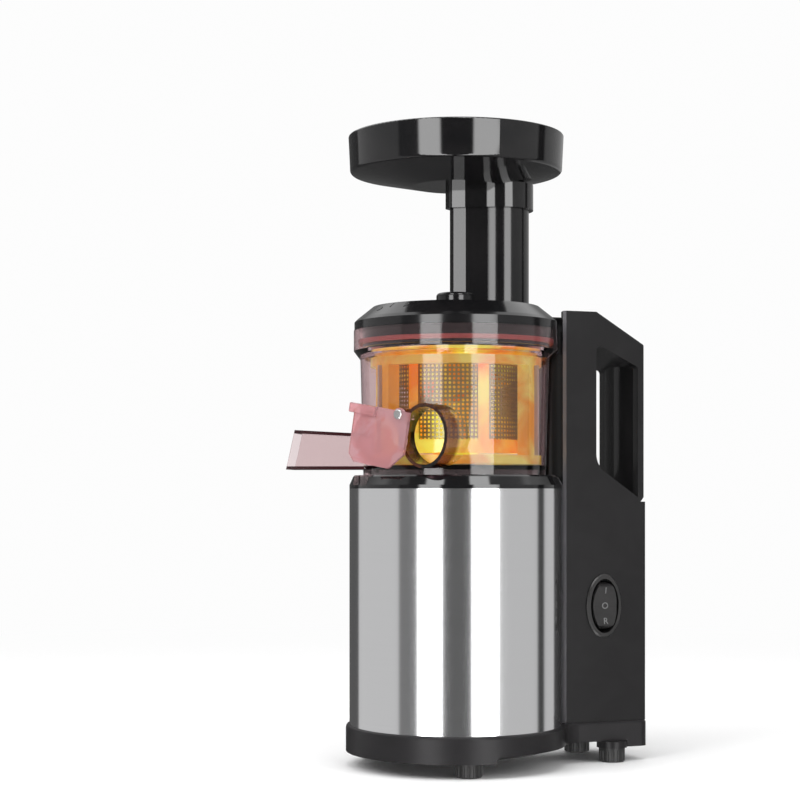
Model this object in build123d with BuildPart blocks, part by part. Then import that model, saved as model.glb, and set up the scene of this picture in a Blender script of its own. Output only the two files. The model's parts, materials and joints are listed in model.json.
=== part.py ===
"""Cold press juicer: motor base with a carrying tower, juicing bowl, auger, lid and hopper tray.

The frame has +Z up, the front at -Y and the origin on the bowl's axis at the worktop.
All lengths are millimetres.
"""

import os
from math import cos, pi, radians, sin, tan

from build123d import *

os.makedirs("parts", exist_ok=True)

# ---------------------------------------------------------------- driving dimensions
# clearances
running_gap = 0.05  # shaft in a bush
seat_gap = 0.1  # pieces that are pushed together
loose_gap = 0.3  # pieces that move past each other
lift_gap = 0.4  # round pieces that lift off by hand

# base
foot_height = 10.0
foot_radius = 9.0
foot_rib_count = 16
front_foot_angle = 15.0  # each front foot's bearing, measured forward from the side
front_foot_reach = 61.0
rear_foot_spread = 27.0
rear_foot_y = 106.0
rim_height = 18.0
rim_radius = 75.5
rim_proud = 1.2  # the rim stands out past the tower's panels
rim_blend = 16.0  # radius where the round rim runs into the tail
rim_edge = 2.0
floor_thickness = 2.5
arch_height = 4.5  # raised lower edge along both sides
arch_start_y = -3.0
arch_end_y = 98.0
belly_radius = 62.0
belly_depth = 3.8
vent_count = 24
vent_width = 3.0
vent_length = 14.0
vent_ring_radius = 46.0

# round housing
steel_radius = 73.0
steel_thickness = 0.8
steel_height = 161.0
housing_wall = 2.6
collar_height = 9.0
collar_crown_radius = 70.5
collar_wall = 2.8
spigot_radius = 60.4
spigot_height = 3.2

# tower
tower_half = 29.0
tower_rear = 132.0
tower_rise = 14.0  # top of the tower above the bowl's rim
tower_slope_drop = 22.0  # fall of the sloped roof towards the back
tower_slope_start = 93.0
tower_wall = 2.6
tower_gap = 0.4  # slit between the tower and the steel wrap
cover_thickness = 4.5
cover_drop = 9.0  # rear cover's top below the steel's top
cover_vent_count = 7
cover_vent_pitch = 7.0
cover_vent_length = 34.0
cover_vent_width = 2.6
cover_vent_drop = 40.0
gland_rise = 22.0
gland_radius = 7.1
gland_bore = 3.6
grip_step = 2.2  # the grip's back lies this far inside the rear cover
grip_edge = 4.5  # thickness of the grip at its side edges
grip_bulge = 3.5
handle_front_y = 93.0
handle_roof_drop = 8.0  # front of the hole's roof below the bowl's rim
handle_roof_fall = 15.5
handle_floor_rise = 7.0  # front of the hole's floor above the bowl's foot
handle_floor_fall = 22.0
handle_big_radius = 15.0
handle_small_radius = 3.0
tower_chamfer = 2.5
cheek_gap = 19.0  # half width of the lowered middle at the tower's top
cheek_drop = 4.5
screw_rear_y = 112.0
screw_front_y = 84.0
boss_radius = 4.5

# switch
switch_y = 98.6
switch_rise = 80.0  # above the rim's top
bezel_height = 44.0
bezel_width = 27.0
bezel_proud = 1.8
bezel_lap = 1.0  # the bezel covers the wall this far round its opening
bezel_collar_depth = 14.0
well_gap = 1.7  # gap round the rocker
rocker_height = 34.0
rocker_width = 18.0
rocker_pivot_depth = 7.0
rocker_pin_radius = 1.6
rocker_dish = 2.2  # how far the rocker's ends stand out past its middle
switch_body_depth = 14.0

# bowl
bowl_height = 99.0
bowl_foot_radius = 63.5
bowl_radius = 65.5
bowl_wall = 2.5
bowl_floor = 3.0
flange_radius = 70.0
flange_height = 20.0
flange_slope = 6.0
hub_radius = 9.6
hub_rise = 13.0
spout_bearing = 33.0  # direction of the juice spout, from the front towards +X
spout_side = 24.5  # sideways shift of the spout's axis from the bowl's axis
spout_reach = 73.4
spout_half_width = 18.5
spout_half_height = 21.2
spout_wall = 2.4
chute_bearing = -28.0  # direction of the pulp chute, from the front towards +X
chute_reach = 115.0
chute_width = 36.0
chute_height = 27.0
chute_wall = 2.2
chute_flare = 3.0
chute_slant = 6.0
chute_drop = 4.0  # bottom of the chute above the bowl's foot

# juice cap
cap_thickness = 2.6
cap_overhang = 0.8
cap_open_angle = 100.0
cap_pivot_side = 17.0  # the cap's pivot from the spout's centre, away from the tower
cap_pivot_rise = 14.0
cap_big_chamfer = 11.0
cap_small_chamfer = 5.0
cap_rib_width = 6.5
cap_rib_proud = 2.0
seal_thickness = 1.5
seal_width = 5.0
lug_radius = 4.2
lug_depth = 9.0
hinge_pin_radius = 1.6
hinge_pin_head = 3.2

# strainer, brush and auger
mesh_radius = 44.0
mesh_thickness = 0.5
strainer_wall = 2.2
strainer_window_count = 6
strainer_rib = 9.0
strainer_flange_thickness = 2.5
brush_radius = 58.5
brush_wall = 8.0
brush_ring_height = 6.0
brush_post_count = 3
brush_post_width = 16.0
wiper_thickness = 1.8
auger_radius = 43.2
auger_neck_radius = 15.6
auger_base_radius = 27.0
auger_tip_radius = 11.0
auger_skirt_height = 6.0
auger_waist_height = 30.0
auger_waist_step = 9.0  # the core is this much thinner at its waist than at its base
auger_flight_pitch = 74.0
auger_flight_count = 2
auger_pin_radius = 5.0
gear_tier = 6.0  # thickness of the brush gears

# gears: teeth and module
brush_module = 2.0
sun_teeth = 14
idler_teeth = 12
train_module = 1.25
tooth_share = 0.2  # half a tooth's width at the pitch circle, in pitches
pinion_teeth = 10
wheel_teeth = 42

# lid and hopper
lid_radius = 69.6
lid_band = 5.5
lid_shoulder_radius = 57.0
lid_shoulder_rise = 16.0
lid_dome_rise = 19.0
lid_wall = 2.5
lid_boss_radius = 13.4
lid_boss_rise = 7.0
lid_skirt_depth = 12.0
lid_tab_half = 9.0
lid_tab_length = 12.4  # the tab beyond the lid's edge
sensor_length = 20.0  # switch in the tower's top, pressed by the lid's tab
sensor_width = 6.4
sensor_height = 9.8
sensor_key_length = 3.0
sensor_key_width = 2.4
sensor_key_height = 0.8
plunger_radius = 2.4
plunger_head_radius = 4.0
interlock_travel = 3.0
lid_tab_rise = 6.0
lid_tab_thickness = 4.0
tube_radius = 20.5
tube_wall = 2.2
tube_y = 32.6
tube_rise = 99.5  # top of the feed tube above the bowl's rim
lobe_tip_half = 3.2
lobe_tip_y = -3.1
lobe_mid_half = 8.0
lobe_mid_y = 3.9
lobe_root_half = 17.0
tray_radius = 73.7
tray_rise = 133.0  # rim of the tray above the bowl's rim
tray_depth = 25.0
tray_wall = 2.4
tray_neck_radius = 30.0
tray_dish = 9.0
tray_sleeve_rise = 84.0  # lower edge of the tray's sleeve above the bowl's rim
tray_sleeve_wall = 2.6

# motor and gearbox
shaft_radius = 4.0
fan_radius = 30.0
fan_height = 12.0
fan_blade_count = 9
mount_leg_radius = 5.0
mount_ring_radius = 60.0
mount_height = 27.0
mount_thickness = 3.0
frame_side = 78.0
frame_thickness = 3.0
frame_slot_length = 20.0
frame_slot_width = 10.0
frame_post = 5.0
frame_post_spread = 30.0
winding_height = 10.0
stack_side = 76.0
stack_height = 38.0
rotor_radius = 21.4
air_gap = 0.6
bearing_radius = 11.0
bearing_height = 7.0
case_gap = 5.5  # between the gearbox and the housing
case_wall = 2.5
case_height = 31.0
case_floor = 3.0
cover_plate = 4.0
wheel_thickness = 7.0
drive_radius = 6.0
drive_flats = 11.0
bush_wall = 3.0

# ---------------------------------------------------------------- heights that follow
rim_bottom = foot_height
rim_top = rim_bottom + rim_height
floor_bottom = rim_bottom + arch_height
floor_top = floor_bottom + floor_thickness
steel_top = rim_top + steel_height
bowl_bottom = steel_top + collar_height
spigot_top = bowl_bottom + spigot_height
bowl_floor_bottom = spigot_top + loose_gap
bowl_floor_top = bowl_floor_bottom + bowl_floor
bowl_top = bowl_bottom + bowl_height
flange_bottom = bowl_top - flange_height
ledge_height = flange_bottom + 0.6 * flange_slope
gear_low = bowl_floor_top + 0.8
gear_high = gear_low + gear_tier
strainer_floor = gear_high + 1.5
strainer_floor_top = strainer_floor + 2.0
cover_top = steel_top - cover_drop
cover_height = cover_top - rim_top
tower_top = bowl_top + tower_rise
tower_back_top = tower_top - tower_slope_drop
handle_roof_front = bowl_top - handle_roof_drop
handle_roof_back = handle_roof_front - handle_roof_fall
handle_floor_front = bowl_bottom + handle_floor_rise
handle_floor_back = handle_floor_front - handle_floor_fall
switch_z = rim_top + switch_rise
tower_screw_spots = [
    (screw_rear_y, rim_top + 14),
    (screw_rear_y, steel_top - 23),
    (screw_front_y, bowl_bottom + 18),
    (screw_front_y, flange_bottom - 11),
]

rim_wall = rim_radius - steel_radius + steel_thickness
housing_radius = steel_radius - steel_thickness - seat_gap
case_radius = housing_radius - housing_wall - case_gap
lid_tab_reach = lid_radius + lid_tab_length
scoop_radius = steel_radius + tower_gap
mesh_outer = mesh_radius + mesh_thickness
strainer_radius = mesh_outer + seat_gap + strainer_wall
bowl_inner = bowl_radius - bowl_wall
bowl_foot_inner = bowl_foot_radius - bowl_wall
flange_inner = flange_radius - bowl_wall - 0.3

spout_z = bowl_floor_top - bowl_wall + spout_half_height
spout_out = Vector(sin(radians(spout_bearing)), -cos(radians(spout_bearing)), 0)
spout_across = Vector(cos(radians(spout_bearing)), sin(radians(spout_bearing)), 0)
spout_mouth = spout_across * spout_side + spout_out * spout_reach + Vector(0, 0, spout_z)
spout_plane = Plane(origin=spout_mouth, x_dir=spout_across, z_dir=spout_out)
cap_pivot = spout_mouth - spout_across * cap_pivot_side + Vector(0, 0, cap_pivot_rise)
cap_swing = radians(cap_open_angle)
cap_across = spout_across * cos(cap_swing) - Vector(0, 0, sin(cap_swing))
chute_out = Vector(sin(radians(chute_bearing)), -cos(radians(chute_bearing)), 0)
chute_across = Vector(cos(radians(chute_bearing)), sin(radians(chute_bearing)), 0)


def tier(height):
    """Horizontal plane at a height above the worktop."""
    return Plane.XY.offset(height)


def save(piece, name):
    """Label a finished piece and write its STEP file."""
    piece.part.label = name
    export_step(piece.part, f"parts/{name}.step")


def ring(outer, inner, low, high):
    """Upright ring between two heights."""
    with BuildPart() as piece:
        with BuildSketch(tier(low)):
            Circle(outer)
            Circle(inner, mode=Mode.SUBTRACT)
        extrude(amount=high - low)
    return piece


def gear_outline(teeth, module, phase, inward=False):
    """Polygon of a spur gear's teeth; an inward gear's polygon is its hollow."""
    pitch_radius = teeth * module / 2
    addendum, dedendum = 0.85 * module, 1.15 * module
    half = tooth_share * pi * module
    slope = tan(radians(21))
    side = -1 if inward else 1
    tip, root = pitch_radius + side * addendum, pitch_radius - side * dedendum
    tip_angle = (half - addendum * slope) / tip
    root_angle = (half + dedendum * slope) / root
    points = []
    for tooth in range(teeth):
        middle = radians(phase) + 2 * pi * tooth / teeth
        for radius, angle in (
            (root, middle - root_angle),
            (tip, middle - tip_angle),
            (tip, middle + tip_angle),
            (root, middle + root_angle),
        ):
            points.append((radius * cos(angle), radius * sin(angle)))
    return points


def oval(height, width):
    """Upright ellipse, made in the current sketch."""
    return Ellipse(width / 2, height / 2)


# ---------------------------------------------------------------- base shell and feet
with BuildSketch() as base_outline:
    Circle(rim_radius)
    tail_length = tower_rear + rim_proud
    with Locations((0, tail_length / 2)):
        Rectangle(2 * (tower_half + rim_proud), tail_length)
    tail_corners = base_outline.vertices().group_by(Axis.Y)[-1]
    fillet(tail_corners, radius=6)
    waist = base_outline.vertices().filter_by_position(Axis.Y, 50, 90)
    fillet(waist, radius=rim_blend)

foot_spots = [
    (side * front_foot_reach * cos(radians(front_foot_angle)), -front_foot_reach * sin(radians(front_foot_angle)))
    for side in (1, -1)
] + [(side * rear_foot_spread, rear_foot_y) for side in (1, -1)]

with BuildPart() as base_shell:
    with BuildSketch(tier(rim_bottom)):
        add(base_outline.sketch)
    extrude(amount=rim_height)
    rim_corners = base_shell.faces().sort_by(Axis.Z)[-1].edges()
    fillet(rim_corners, radius=rim_edge)
    with BuildSketch(tier(floor_top)):
        offset(base_outline.sketch, amount=-rim_wall)
    extrude(amount=rim_height, mode=Mode.SUBTRACT)
    with BuildSketch(tier(rim_bottom)):
        offset(base_outline.sketch, amount=-rim_wall)
    extrude(amount=arch_height, mode=Mode.SUBTRACT)
    with BuildSketch(Plane.YZ):
        with Locations(((arch_start_y + arch_end_y) / 2, rim_bottom)):
            RectangleRounded(arch_end_y - arch_start_y, 2 * arch_height, radius=arch_height - 0.5)
    extrude(amount=2 * rim_radius, both=True, mode=Mode.SUBTRACT)
    with BuildSketch(tier(floor_bottom - belly_depth)):
        Circle(belly_radius)
    extrude(amount=belly_depth)
    belly_edge = base_shell.faces().filter_by_position(
        Axis.Z, floor_bottom - belly_depth - 0.1, floor_bottom - belly_depth + 0.1
    )
    chamfer(belly_edge.edges(), length=1.2)
    with BuildSketch(tier(rim_bottom)):
        with Locations(*foot_spots):
            Circle(foot_radius + 1.5)
    extrude(amount=arch_height)
    with BuildSketch(tier(rim_bottom)):
        with PolarLocations(vent_ring_radius, vent_count):
            SlotOverall(vent_length, vent_width)
    extrude(amount=rim_height, mode=Mode.SUBTRACT)
save(base_shell, "base_shell")

with BuildPart() as rubber_feet:
    with BuildSketch():
        with Locations(*foot_spots):
            Circle(foot_radius)
    extrude(amount=foot_height)
    foot_edges = rubber_feet.edges().filter_by(GeomType.CIRCLE)
    chamfer(foot_edges.group_by(Axis.Z)[0], length=1.0)
    with BuildSketch():
        for spot in foot_spots:
            with Locations(spot):
                with PolarLocations(foot_radius + 0.4, foot_rib_count):
                    Circle(0.9)
    extrude(amount=foot_height - 2, mode=Mode.SUBTRACT)
    with BuildSketch():
        with Locations(*foot_spots):
            Circle(4)
    extrude(amount=4, mode=Mode.SUBTRACT)
    with BuildSketch():
        with Locations(*foot_spots):
            Circle(2.1)
    extrude(amount=foot_height, mode=Mode.SUBTRACT)
save(rubber_feet, "rubber_feet")

with BuildPart() as foot_screws:
    with BuildSketch(tier(2)):
        with Locations(*foot_spots):
            Circle(3.6)
    extrude(amount=2)
    with BuildSketch(tier(2)):
        with Locations(*foot_spots):
            Circle(2.0)
    extrude(amount=foot_height - 2)
save(foot_screws, "foot_screws")

# ---------------------------------------------------------------- round housing
with BuildPart() as motor_housing:
    with BuildSketch(tier(floor_top)):
        Circle(housing_radius)
        Circle(housing_radius - housing_wall, mode=Mode.SUBTRACT)
    extrude(amount=steel_top - floor_top)
    with BuildSketch(tier(floor_top)):
        with PolarLocations(housing_radius - housing_wall - 1.5, 4, start_angle=45):
            Rectangle(5, 6)
    extrude(amount=22)
save(motor_housing, "motor_housing")

wrap_end_angle = 24.5  # half angle of the gap that the tower fills

with BuildPart() as steel_wrap:
    with BuildSketch(tier(rim_top)):
        Circle(steel_radius)
        Circle(steel_radius - steel_thickness, mode=Mode.SUBTRACT)
        with BuildLine():
            reach = 2 * steel_radius
            gap_half = reach * tan(radians(wrap_end_angle))
            Polyline((0, 0), (gap_half, reach), (-gap_half, reach), close=True)
        make_face(mode=Mode.SUBTRACT)
    extrude(amount=steel_height)
save(steel_wrap, "steel_wrap")

with BuildPart() as top_collar:
    with BuildSketch(Plane.XZ):
        with BuildLine():
            Polyline(
                (drive_radius + bush_wall, steel_top - 4),
                (drive_radius + bush_wall, spigot_top),
                (spigot_radius, spigot_top),
                (spigot_radius, bowl_bottom),
                (collar_crown_radius - 1, bowl_bottom),
                (collar_crown_radius, bowl_bottom - 1),
                (steel_radius, steel_top + 2.5),
                (steel_radius, steel_top),
                (housing_radius - housing_wall - collar_wall, steel_top),
                (housing_radius - housing_wall - collar_wall, bowl_bottom - collar_wall),
                (drive_radius + bush_wall + 4, bowl_bottom - collar_wall),
                (drive_radius + bush_wall + 4, steel_top - 4),
                close=True,
            )
        make_face()
    revolve(axis=Axis.Z)
save(top_collar, "top_collar")

drive_bush = ring(drive_radius + bush_wall - 0.02, drive_radius + running_gap, steel_top - 4, bowl_bottom)
save(drive_bush, "drive_bush")

shaft_seal = ring(drive_radius + bush_wall - 0.02, drive_radius + loose_gap, bowl_bottom, spigot_top)
save(shaft_seal, "shaft_seal")

# ---------------------------------------------------------------- tower
cover_front = tower_rear - cover_thickness
grip_back = tower_rear - grip_step
grip_front = grip_back - grip_edge
cavity_rear = cover_front - tower_wall
pocket_floor = bowl_top + lid_tab_rise - loose_gap
pocket_rear = lid_tab_reach + loose_gap + 0.3
switch_room_top = pocket_floor - 3.2
switch_room_bottom = switch_room_top - 16.5
pin_y = pocket_rear - 5

with BuildPart() as tower:
    with BuildSketch(Plane.YZ):
        with BuildLine():
            Polyline(
                (steel_radius / 2, rim_top),
                (cover_front, rim_top),
                (cover_front, cover_top),
                (grip_back, cover_top + 3),
                (grip_back, tower_back_top),
                (tower_slope_start, tower_top),
                (steel_radius / 2, tower_top),
                close=True,
            )
        make_face()
        fillet(vertices().sort_by(Axis.Y)[-3:-1], radius=1.5)
    extrude(amount=tower_half, both=True)
    with BuildSketch(tier(rim_top)):
        Circle(scoop_radius)
    extrude(amount=tower_top, mode=Mode.SUBTRACT)
    front_edges = edges().filter_by(Axis.Z).group_by(Axis.Y)[0]
    chamfer(front_edges, length=tower_chamfer)
    # carrying hole with the big round corner at its front foot
    with BuildSketch(Plane.YZ):
        with BuildLine():
            Polyline(
                (handle_front_y, handle_floor_front),
                (grip_front, handle_floor_back),
                (grip_front, handle_roof_back),
                (handle_front_y, handle_roof_front),
                close=True,
            )
        make_face()
        low_front = vertices().group_by(Axis.X)[0].sort_by(Axis.Y)[0]
        fillet(low_front, radius=handle_big_radius)
        fillet(vertices().sort_by(Axis.Y)[-2:], radius=handle_small_radius)
    extrude(amount=tower_half, both=True, mode=Mode.SUBTRACT)
    # rounded inner face of the grip
    with BuildSketch(tier(handle_floor_back - 4)):
        with BuildLine():
            left, right = (4 - tower_half, grip_front + 1), (tower_half - 4, grip_front + 1)
            ThreePointArc(left, (0, grip_front - grip_bulge), right)
            Line(right, left)
        make_face()
    extrude(amount=handle_roof_back - handle_floor_back + 12)
    # hollow of the lower block
    with BuildSketch(tier(rim_top + tower_wall)):
        with Locations((0, cavity_rear / 2)):
            Rectangle(2 * (tower_half - tower_wall), cavity_rear)
        Circle(scoop_radius + tower_wall, mode=Mode.SUBTRACT)
    extrude(amount=handle_floor_back - 12 - rim_top - tower_wall, mode=Mode.SUBTRACT)
    # hollow of the column beside the bowl
    with BuildSketch(tier(handle_floor_front - 2)):
        with Locations((0, (handle_front_y - tower_wall) / 2)):
            Rectangle(2 * (tower_half - tower_wall), handle_front_y - tower_wall)
        Circle(scoop_radius + tower_wall, mode=Mode.SUBTRACT)
    extrude(amount=switch_room_bottom - tower_wall - handle_floor_front + 2, mode=Mode.SUBTRACT)
    # screw bosses that cross both hollows
    with BuildSketch(Plane.YZ):
        with Locations(*tower_screw_spots):
            Circle(boss_radius)
    extrude(amount=tower_half - 1, both=True)
    # lowered middle, pocket for the lid's tab, room for the safety switch, bore of its pin
    with BuildSketch(tier(tower_top - cheek_drop)):
        with Locations((0, tower_slope_start / 2)):
            Rectangle(2 * cheek_gap, tower_slope_start)
    extrude(amount=cheek_drop, mode=Mode.SUBTRACT)
    with BuildSketch(tier(pocket_floor)):
        with Locations((0, pocket_rear / 2)):
            Rectangle(2 * (lid_tab_half + 2 * loose_gap), pocket_rear)
    extrude(amount=tower_top - pocket_floor, mode=Mode.SUBTRACT)
    with BuildSketch(tier(switch_room_bottom)):
        with Locations((0, pin_y + 1)):
            Rectangle(sensor_length + 2, 2 * plunger_head_radius + 6)
    extrude(amount=switch_room_top - switch_room_bottom, mode=Mode.SUBTRACT)
    with BuildSketch(tier(switch_room_top)):
        with Locations((0, pin_y)):
            Circle(plunger_radius + running_gap)
    extrude(amount=pocket_floor - switch_room_top, mode=Mode.SUBTRACT)

switch_plane = Plane(origin=(tower_half, switch_y, switch_z), x_dir=(0, 1, 0), z_dir=(1, 0, 0))
screw_plane = Plane(origin=(-tower_half, 0, 0), x_dir=(0, -1, 0), z_dir=(-1, 0, 0))
screw_places = [(-y, z) for y, z in tower_screw_spots]
screw_head_depth = 3.0
screw_length = 26.0

with BuildPart() as tower_right_half:
    add(tower.part)
    split(bisect_by=Plane.YZ, keep=Keep.TOP)
    with BuildSketch(switch_plane):
        oval(bezel_height - 2 * bezel_lap, bezel_width - 2 * bezel_lap)
    extrude(amount=-tower_wall, mode=Mode.SUBTRACT)
    with BuildSketch(Plane.YZ):
        with Locations(*tower_screw_spots):
            Circle(1.6)
    extrude(amount=4, mode=Mode.SUBTRACT)
save(tower_right_half, "tower_right_half")

board_x = -12.0
board_thickness = 1.6
board_low, board_high = rim_top + 24.0, rim_top + 74.0
board_front, board_back = 84.0, 118.0

with BuildPart() as tower_left_half:
    add(tower.part)
    split(bisect_by=Plane.YZ, keep=Keep.BOTTOM)
    with BuildSketch(screw_plane):
        with Locations(*screw_places):
            Circle(3.4)
    extrude(amount=-screw_head_depth, mode=Mode.SUBTRACT)
    with BuildSketch(screw_plane):
        with Locations(*screw_places):
            Circle(1.6)
    extrude(amount=-tower_half, mode=Mode.SUBTRACT)
    # posts that carry the control board
    with BuildSketch(Plane.YZ.offset(-(tower_half - tower_wall) - 0.5)):
        with Locations((board_front + 5, board_low + 6), (board_back - 5, board_high - 6)):
            Circle(3)
    extrude(amount=tower_half - tower_wall + 0.5 + board_x - board_thickness)
save(tower_left_half, "tower_left_half")

with BuildPart() as tower_screws:
    with BuildSketch(screw_plane.offset(-screw_head_depth)):
        with Locations(*screw_places):
            Circle(3.2)
    extrude(amount=2)
    with BuildSketch(screw_plane.offset(-screw_head_depth)):
        with Locations(*screw_places):
            Circle(1.55)
    extrude(amount=-screw_length)
save(tower_screws, "tower_screws")

with BuildPart() as tower_rear_cover:
    with BuildSketch(tier(rim_top)):
        with Locations((0, (cover_front + tower_rear) / 2)):
            Rectangle(2 * tower_half, cover_thickness)
        fillet(vertices().group_by(Axis.Y)[-1], radius=2.5)
    extrude(amount=cover_height - seat_gap)
    with BuildSketch(tier(rim_top + tower_wall)):
        with Locations((0, cover_front)):
            Rectangle(2 * (tower_half - tower_wall), 2 * (cover_thickness - 2))
    extrude(amount=cover_height - 2 * tower_wall, mode=Mode.SUBTRACT)
    with BuildSketch(Plane.XZ.offset(-tower_rear)):
        with Locations((0, cover_top - cover_vent_drop)):
            with GridLocations(0, cover_vent_pitch, 1, cover_vent_count):
                SlotOverall(cover_vent_length, cover_vent_width)
        with Locations((0, rim_top + gland_rise)):
            Circle(gland_radius + seat_gap)
    extrude(amount=cover_thickness, both=True, mode=Mode.SUBTRACT)
save(tower_rear_cover, "tower_rear_cover")

with BuildPart() as cord_gland:
    with BuildSketch(Plane.XZ.offset(-(tower_rear - cover_thickness))):
        with Locations((0, rim_top + gland_rise)):
            Circle(gland_radius)
            Circle(gland_bore, mode=Mode.SUBTRACT)
    extrude(amount=-cover_thickness - 0.6)
    with BuildSketch(Plane.XZ.offset(-tower_rear)):
        with Locations((0, rim_top + gland_rise)):
            Circle(gland_radius + 2)
            Circle(gland_bore, mode=Mode.SUBTRACT)
    extrude(amount=-1.4)
save(cord_gland, "cord_gland")

# ---------------------------------------------------------------- switch
rocker_axis_x = tower_half - rocker_pivot_depth
pivot_plane = Plane(origin=(rocker_axis_x, switch_y, switch_z), x_dir=(1, 0, 0), z_dir=(0, -1, 0))

with BuildPart() as switch_bezel:
    with BuildSketch(switch_plane):
        oval(bezel_height, bezel_width)
    extrude(amount=bezel_proud)
    crown = faces().sort_by(Axis.X)[-1].edges()
    chamfer(crown, length=0.9)
    with BuildSketch(switch_plane):
        oval(bezel_height - 2 * (bezel_lap + seat_gap), bezel_width - 2 * (bezel_lap + seat_gap))
    extrude(amount=-bezel_collar_depth)
    with BuildSketch(switch_plane.offset(bezel_proud)):
        oval(rocker_height + 2 * well_gap, rocker_width + 2 * well_gap)
    extrude(amount=-bezel_proud - bezel_collar_depth, mode=Mode.SUBTRACT)
    with BuildSketch(pivot_plane):
        Circle(rocker_pin_radius + running_gap)
    extrude(amount=rocker_width / 2 + well_gap + 1.2, both=True, mode=Mode.SUBTRACT)
save(switch_bezel, "switch_bezel")

rocker_front = rocker_pivot_depth + bezel_proud
rocker_back = 3.0

with BuildPart() as switch_rocker:
    # side profile: dished face, round ends about the pivot, flat back
    with BuildSketch(pivot_plane):
        Circle(rocker_height / 2)
        with BuildLine():
            Polyline(
                (rocker_front, 0),
                (rocker_front + 2 * rocker_dish, rocker_height),
                (rocker_height, rocker_height),
                (rocker_height, -rocker_height),
                (rocker_front + 2 * rocker_dish, -rocker_height),
                close=True,
            )
        make_face(mode=Mode.SUBTRACT)
        with Locations((-rocker_back - rocker_height / 2, 0)):
            Rectangle(rocker_height, 2 * rocker_height, mode=Mode.SUBTRACT)
    extrude(amount=rocker_width / 2, both=True)
    with BuildSketch(switch_plane.offset(10)):
        oval(rocker_height, rocker_width)
    extrude(amount=-30, mode=Mode.INTERSECT)
    with BuildSketch(pivot_plane):
        Circle(rocker_pin_radius)
    extrude(amount=rocker_width / 2 + well_gap + 0.9, both=True)
save(switch_rocker, "switch_rocker")

with BuildPart() as switch_body:
    with BuildSketch(switch_plane.offset(-bezel_collar_depth)):
        RectangleRounded(bezel_width - 5, bezel_height - 6, radius=2)
    extrude(amount=-switch_body_depth)
    with BuildSketch(switch_plane.offset(-bezel_collar_depth - switch_body_depth)):
        with GridLocations(0, 10, 1, 3):
            Rectangle(6, 0.8)
    extrude(amount=-5)
save(switch_body, "switch_body")

# ---------------------------------------------------------------- electrics in the tower
with BuildPart() as control_board:
    with BuildSketch(Plane.YZ.offset(board_x - board_thickness)):
        with Locations(((board_front + board_back) / 2, (board_low + board_high) / 2)):
            Rectangle(board_back - board_front, board_high - board_low)
    extrude(amount=board_thickness)
save(control_board, "control_board")

with BuildPart() as run_capacitor:
    with BuildSketch(Plane.YZ.offset(board_x)):
        with Locations((board_front + 14, board_low + 12)):
            Rectangle(24, 15)
    extrude(amount=10)
    fillet(edges().filter_by(Axis.X), radius=1.5)
save(run_capacitor, "run_capacitor")

with BuildPart() as safety_switch:
    with BuildSketch(tier(switch_room_bottom)):
        with Locations((0, pin_y + 1)):
            Rectangle(sensor_length, sensor_width)
    extrude(amount=sensor_height)
    with BuildSketch(tier(switch_room_bottom + sensor_height)):
        with Locations((0, pin_y)):
            Rectangle(sensor_key_length, sensor_key_width)
    extrude(amount=sensor_key_height)
save(safety_switch, "safety_switch")

plunger_low = switch_room_bottom + sensor_height + sensor_key_height + loose_gap
with BuildPart() as interlock_pin:
    with BuildSketch(tier(plunger_low)):
        with Locations((0, pin_y)):
            Circle(plunger_head_radius)
    extrude(amount=switch_room_top - loose_gap - interlock_travel - plunger_low)
    with BuildSketch(tier(plunger_low)):
        with Locations((0, pin_y)):
            Circle(plunger_radius)
    extrude(amount=pocket_floor - plunger_low)
save(interlock_pin, "interlock_pin")

# ---------------------------------------------------------------- motor
frame_post_length = winding_height + 3.0
mount_top = floor_top + mount_height
stack_low = mount_top + frame_thickness + frame_post_length
stack_high = stack_low + stack_height
frame_high = stack_high + frame_post_length
case_low = frame_high + frame_thickness
wheel_low = case_low + case_floor + 2.0
wheel_high = wheel_low + wheel_thickness
second_low = wheel_high + 3.0
second_high = second_low + 9.0
case_top = case_low + case_height
gear_centre = train_module * (pinion_teeth + wheel_teeth) / 2
fan_low = floor_top + 5.0

with BuildPart() as motor_mount:
    with BuildSketch(tier(floor_top)):
        with PolarLocations(mount_ring_radius - mount_leg_radius - 1, 4, start_angle=45):
            Circle(mount_leg_radius)
    extrude(amount=mount_height)
    with BuildSketch(tier(mount_top - mount_thickness)):
        Circle(mount_ring_radius)
        Circle(fan_radius + 2, mode=Mode.SUBTRACT)
        with PolarLocations(mount_ring_radius - 9, 4):
            SlotOverall(26, 9, rotation=90, mode=Mode.SUBTRACT)
    extrude(amount=mount_thickness)
save(motor_mount, "motor_mount")

with BuildPart() as motor_frames:
    for plate_low, post_low, boss_low in (
        (mount_top, mount_top + frame_thickness, mount_top + frame_thickness - bearing_height),
        (frame_high, stack_high, case_low - bearing_height),
    ):
        with BuildSketch(tier(plate_low)):
            RectangleRounded(frame_side, frame_side, radius=10)
        extrude(amount=frame_thickness)
        with BuildSketch(tier(post_low)):
            with GridLocations(2 * frame_post_spread, 2 * frame_post_spread, 2, 2):
                Circle(frame_post)
        extrude(amount=frame_post_length)
        with BuildSketch(tier(boss_low)):
            Circle(bearing_radius + 3)
        extrude(amount=bearing_height)
        with BuildSketch(tier(boss_low)):
            Circle(bearing_radius + 0.02)
        extrude(amount=bearing_height, mode=Mode.SUBTRACT)
        with BuildSketch(tier(plate_low)):
            with PolarLocations(bearing_radius + 14, 4):
                SlotOverall(frame_slot_length, frame_slot_width, rotation=90)
        extrude(amount=frame_thickness, mode=Mode.SUBTRACT)
save(motor_frames, "motor_frames")

with BuildPart() as motor_bearings:
    for race_low in (mount_top + frame_thickness - bearing_height, case_low - bearing_height):
        with BuildSketch(tier(race_low)):
            Circle(bearing_radius)
            Circle(shaft_radius + running_gap, mode=Mode.SUBTRACT)
        extrude(amount=bearing_height)
save(motor_bearings, "motor_bearings")

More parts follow.
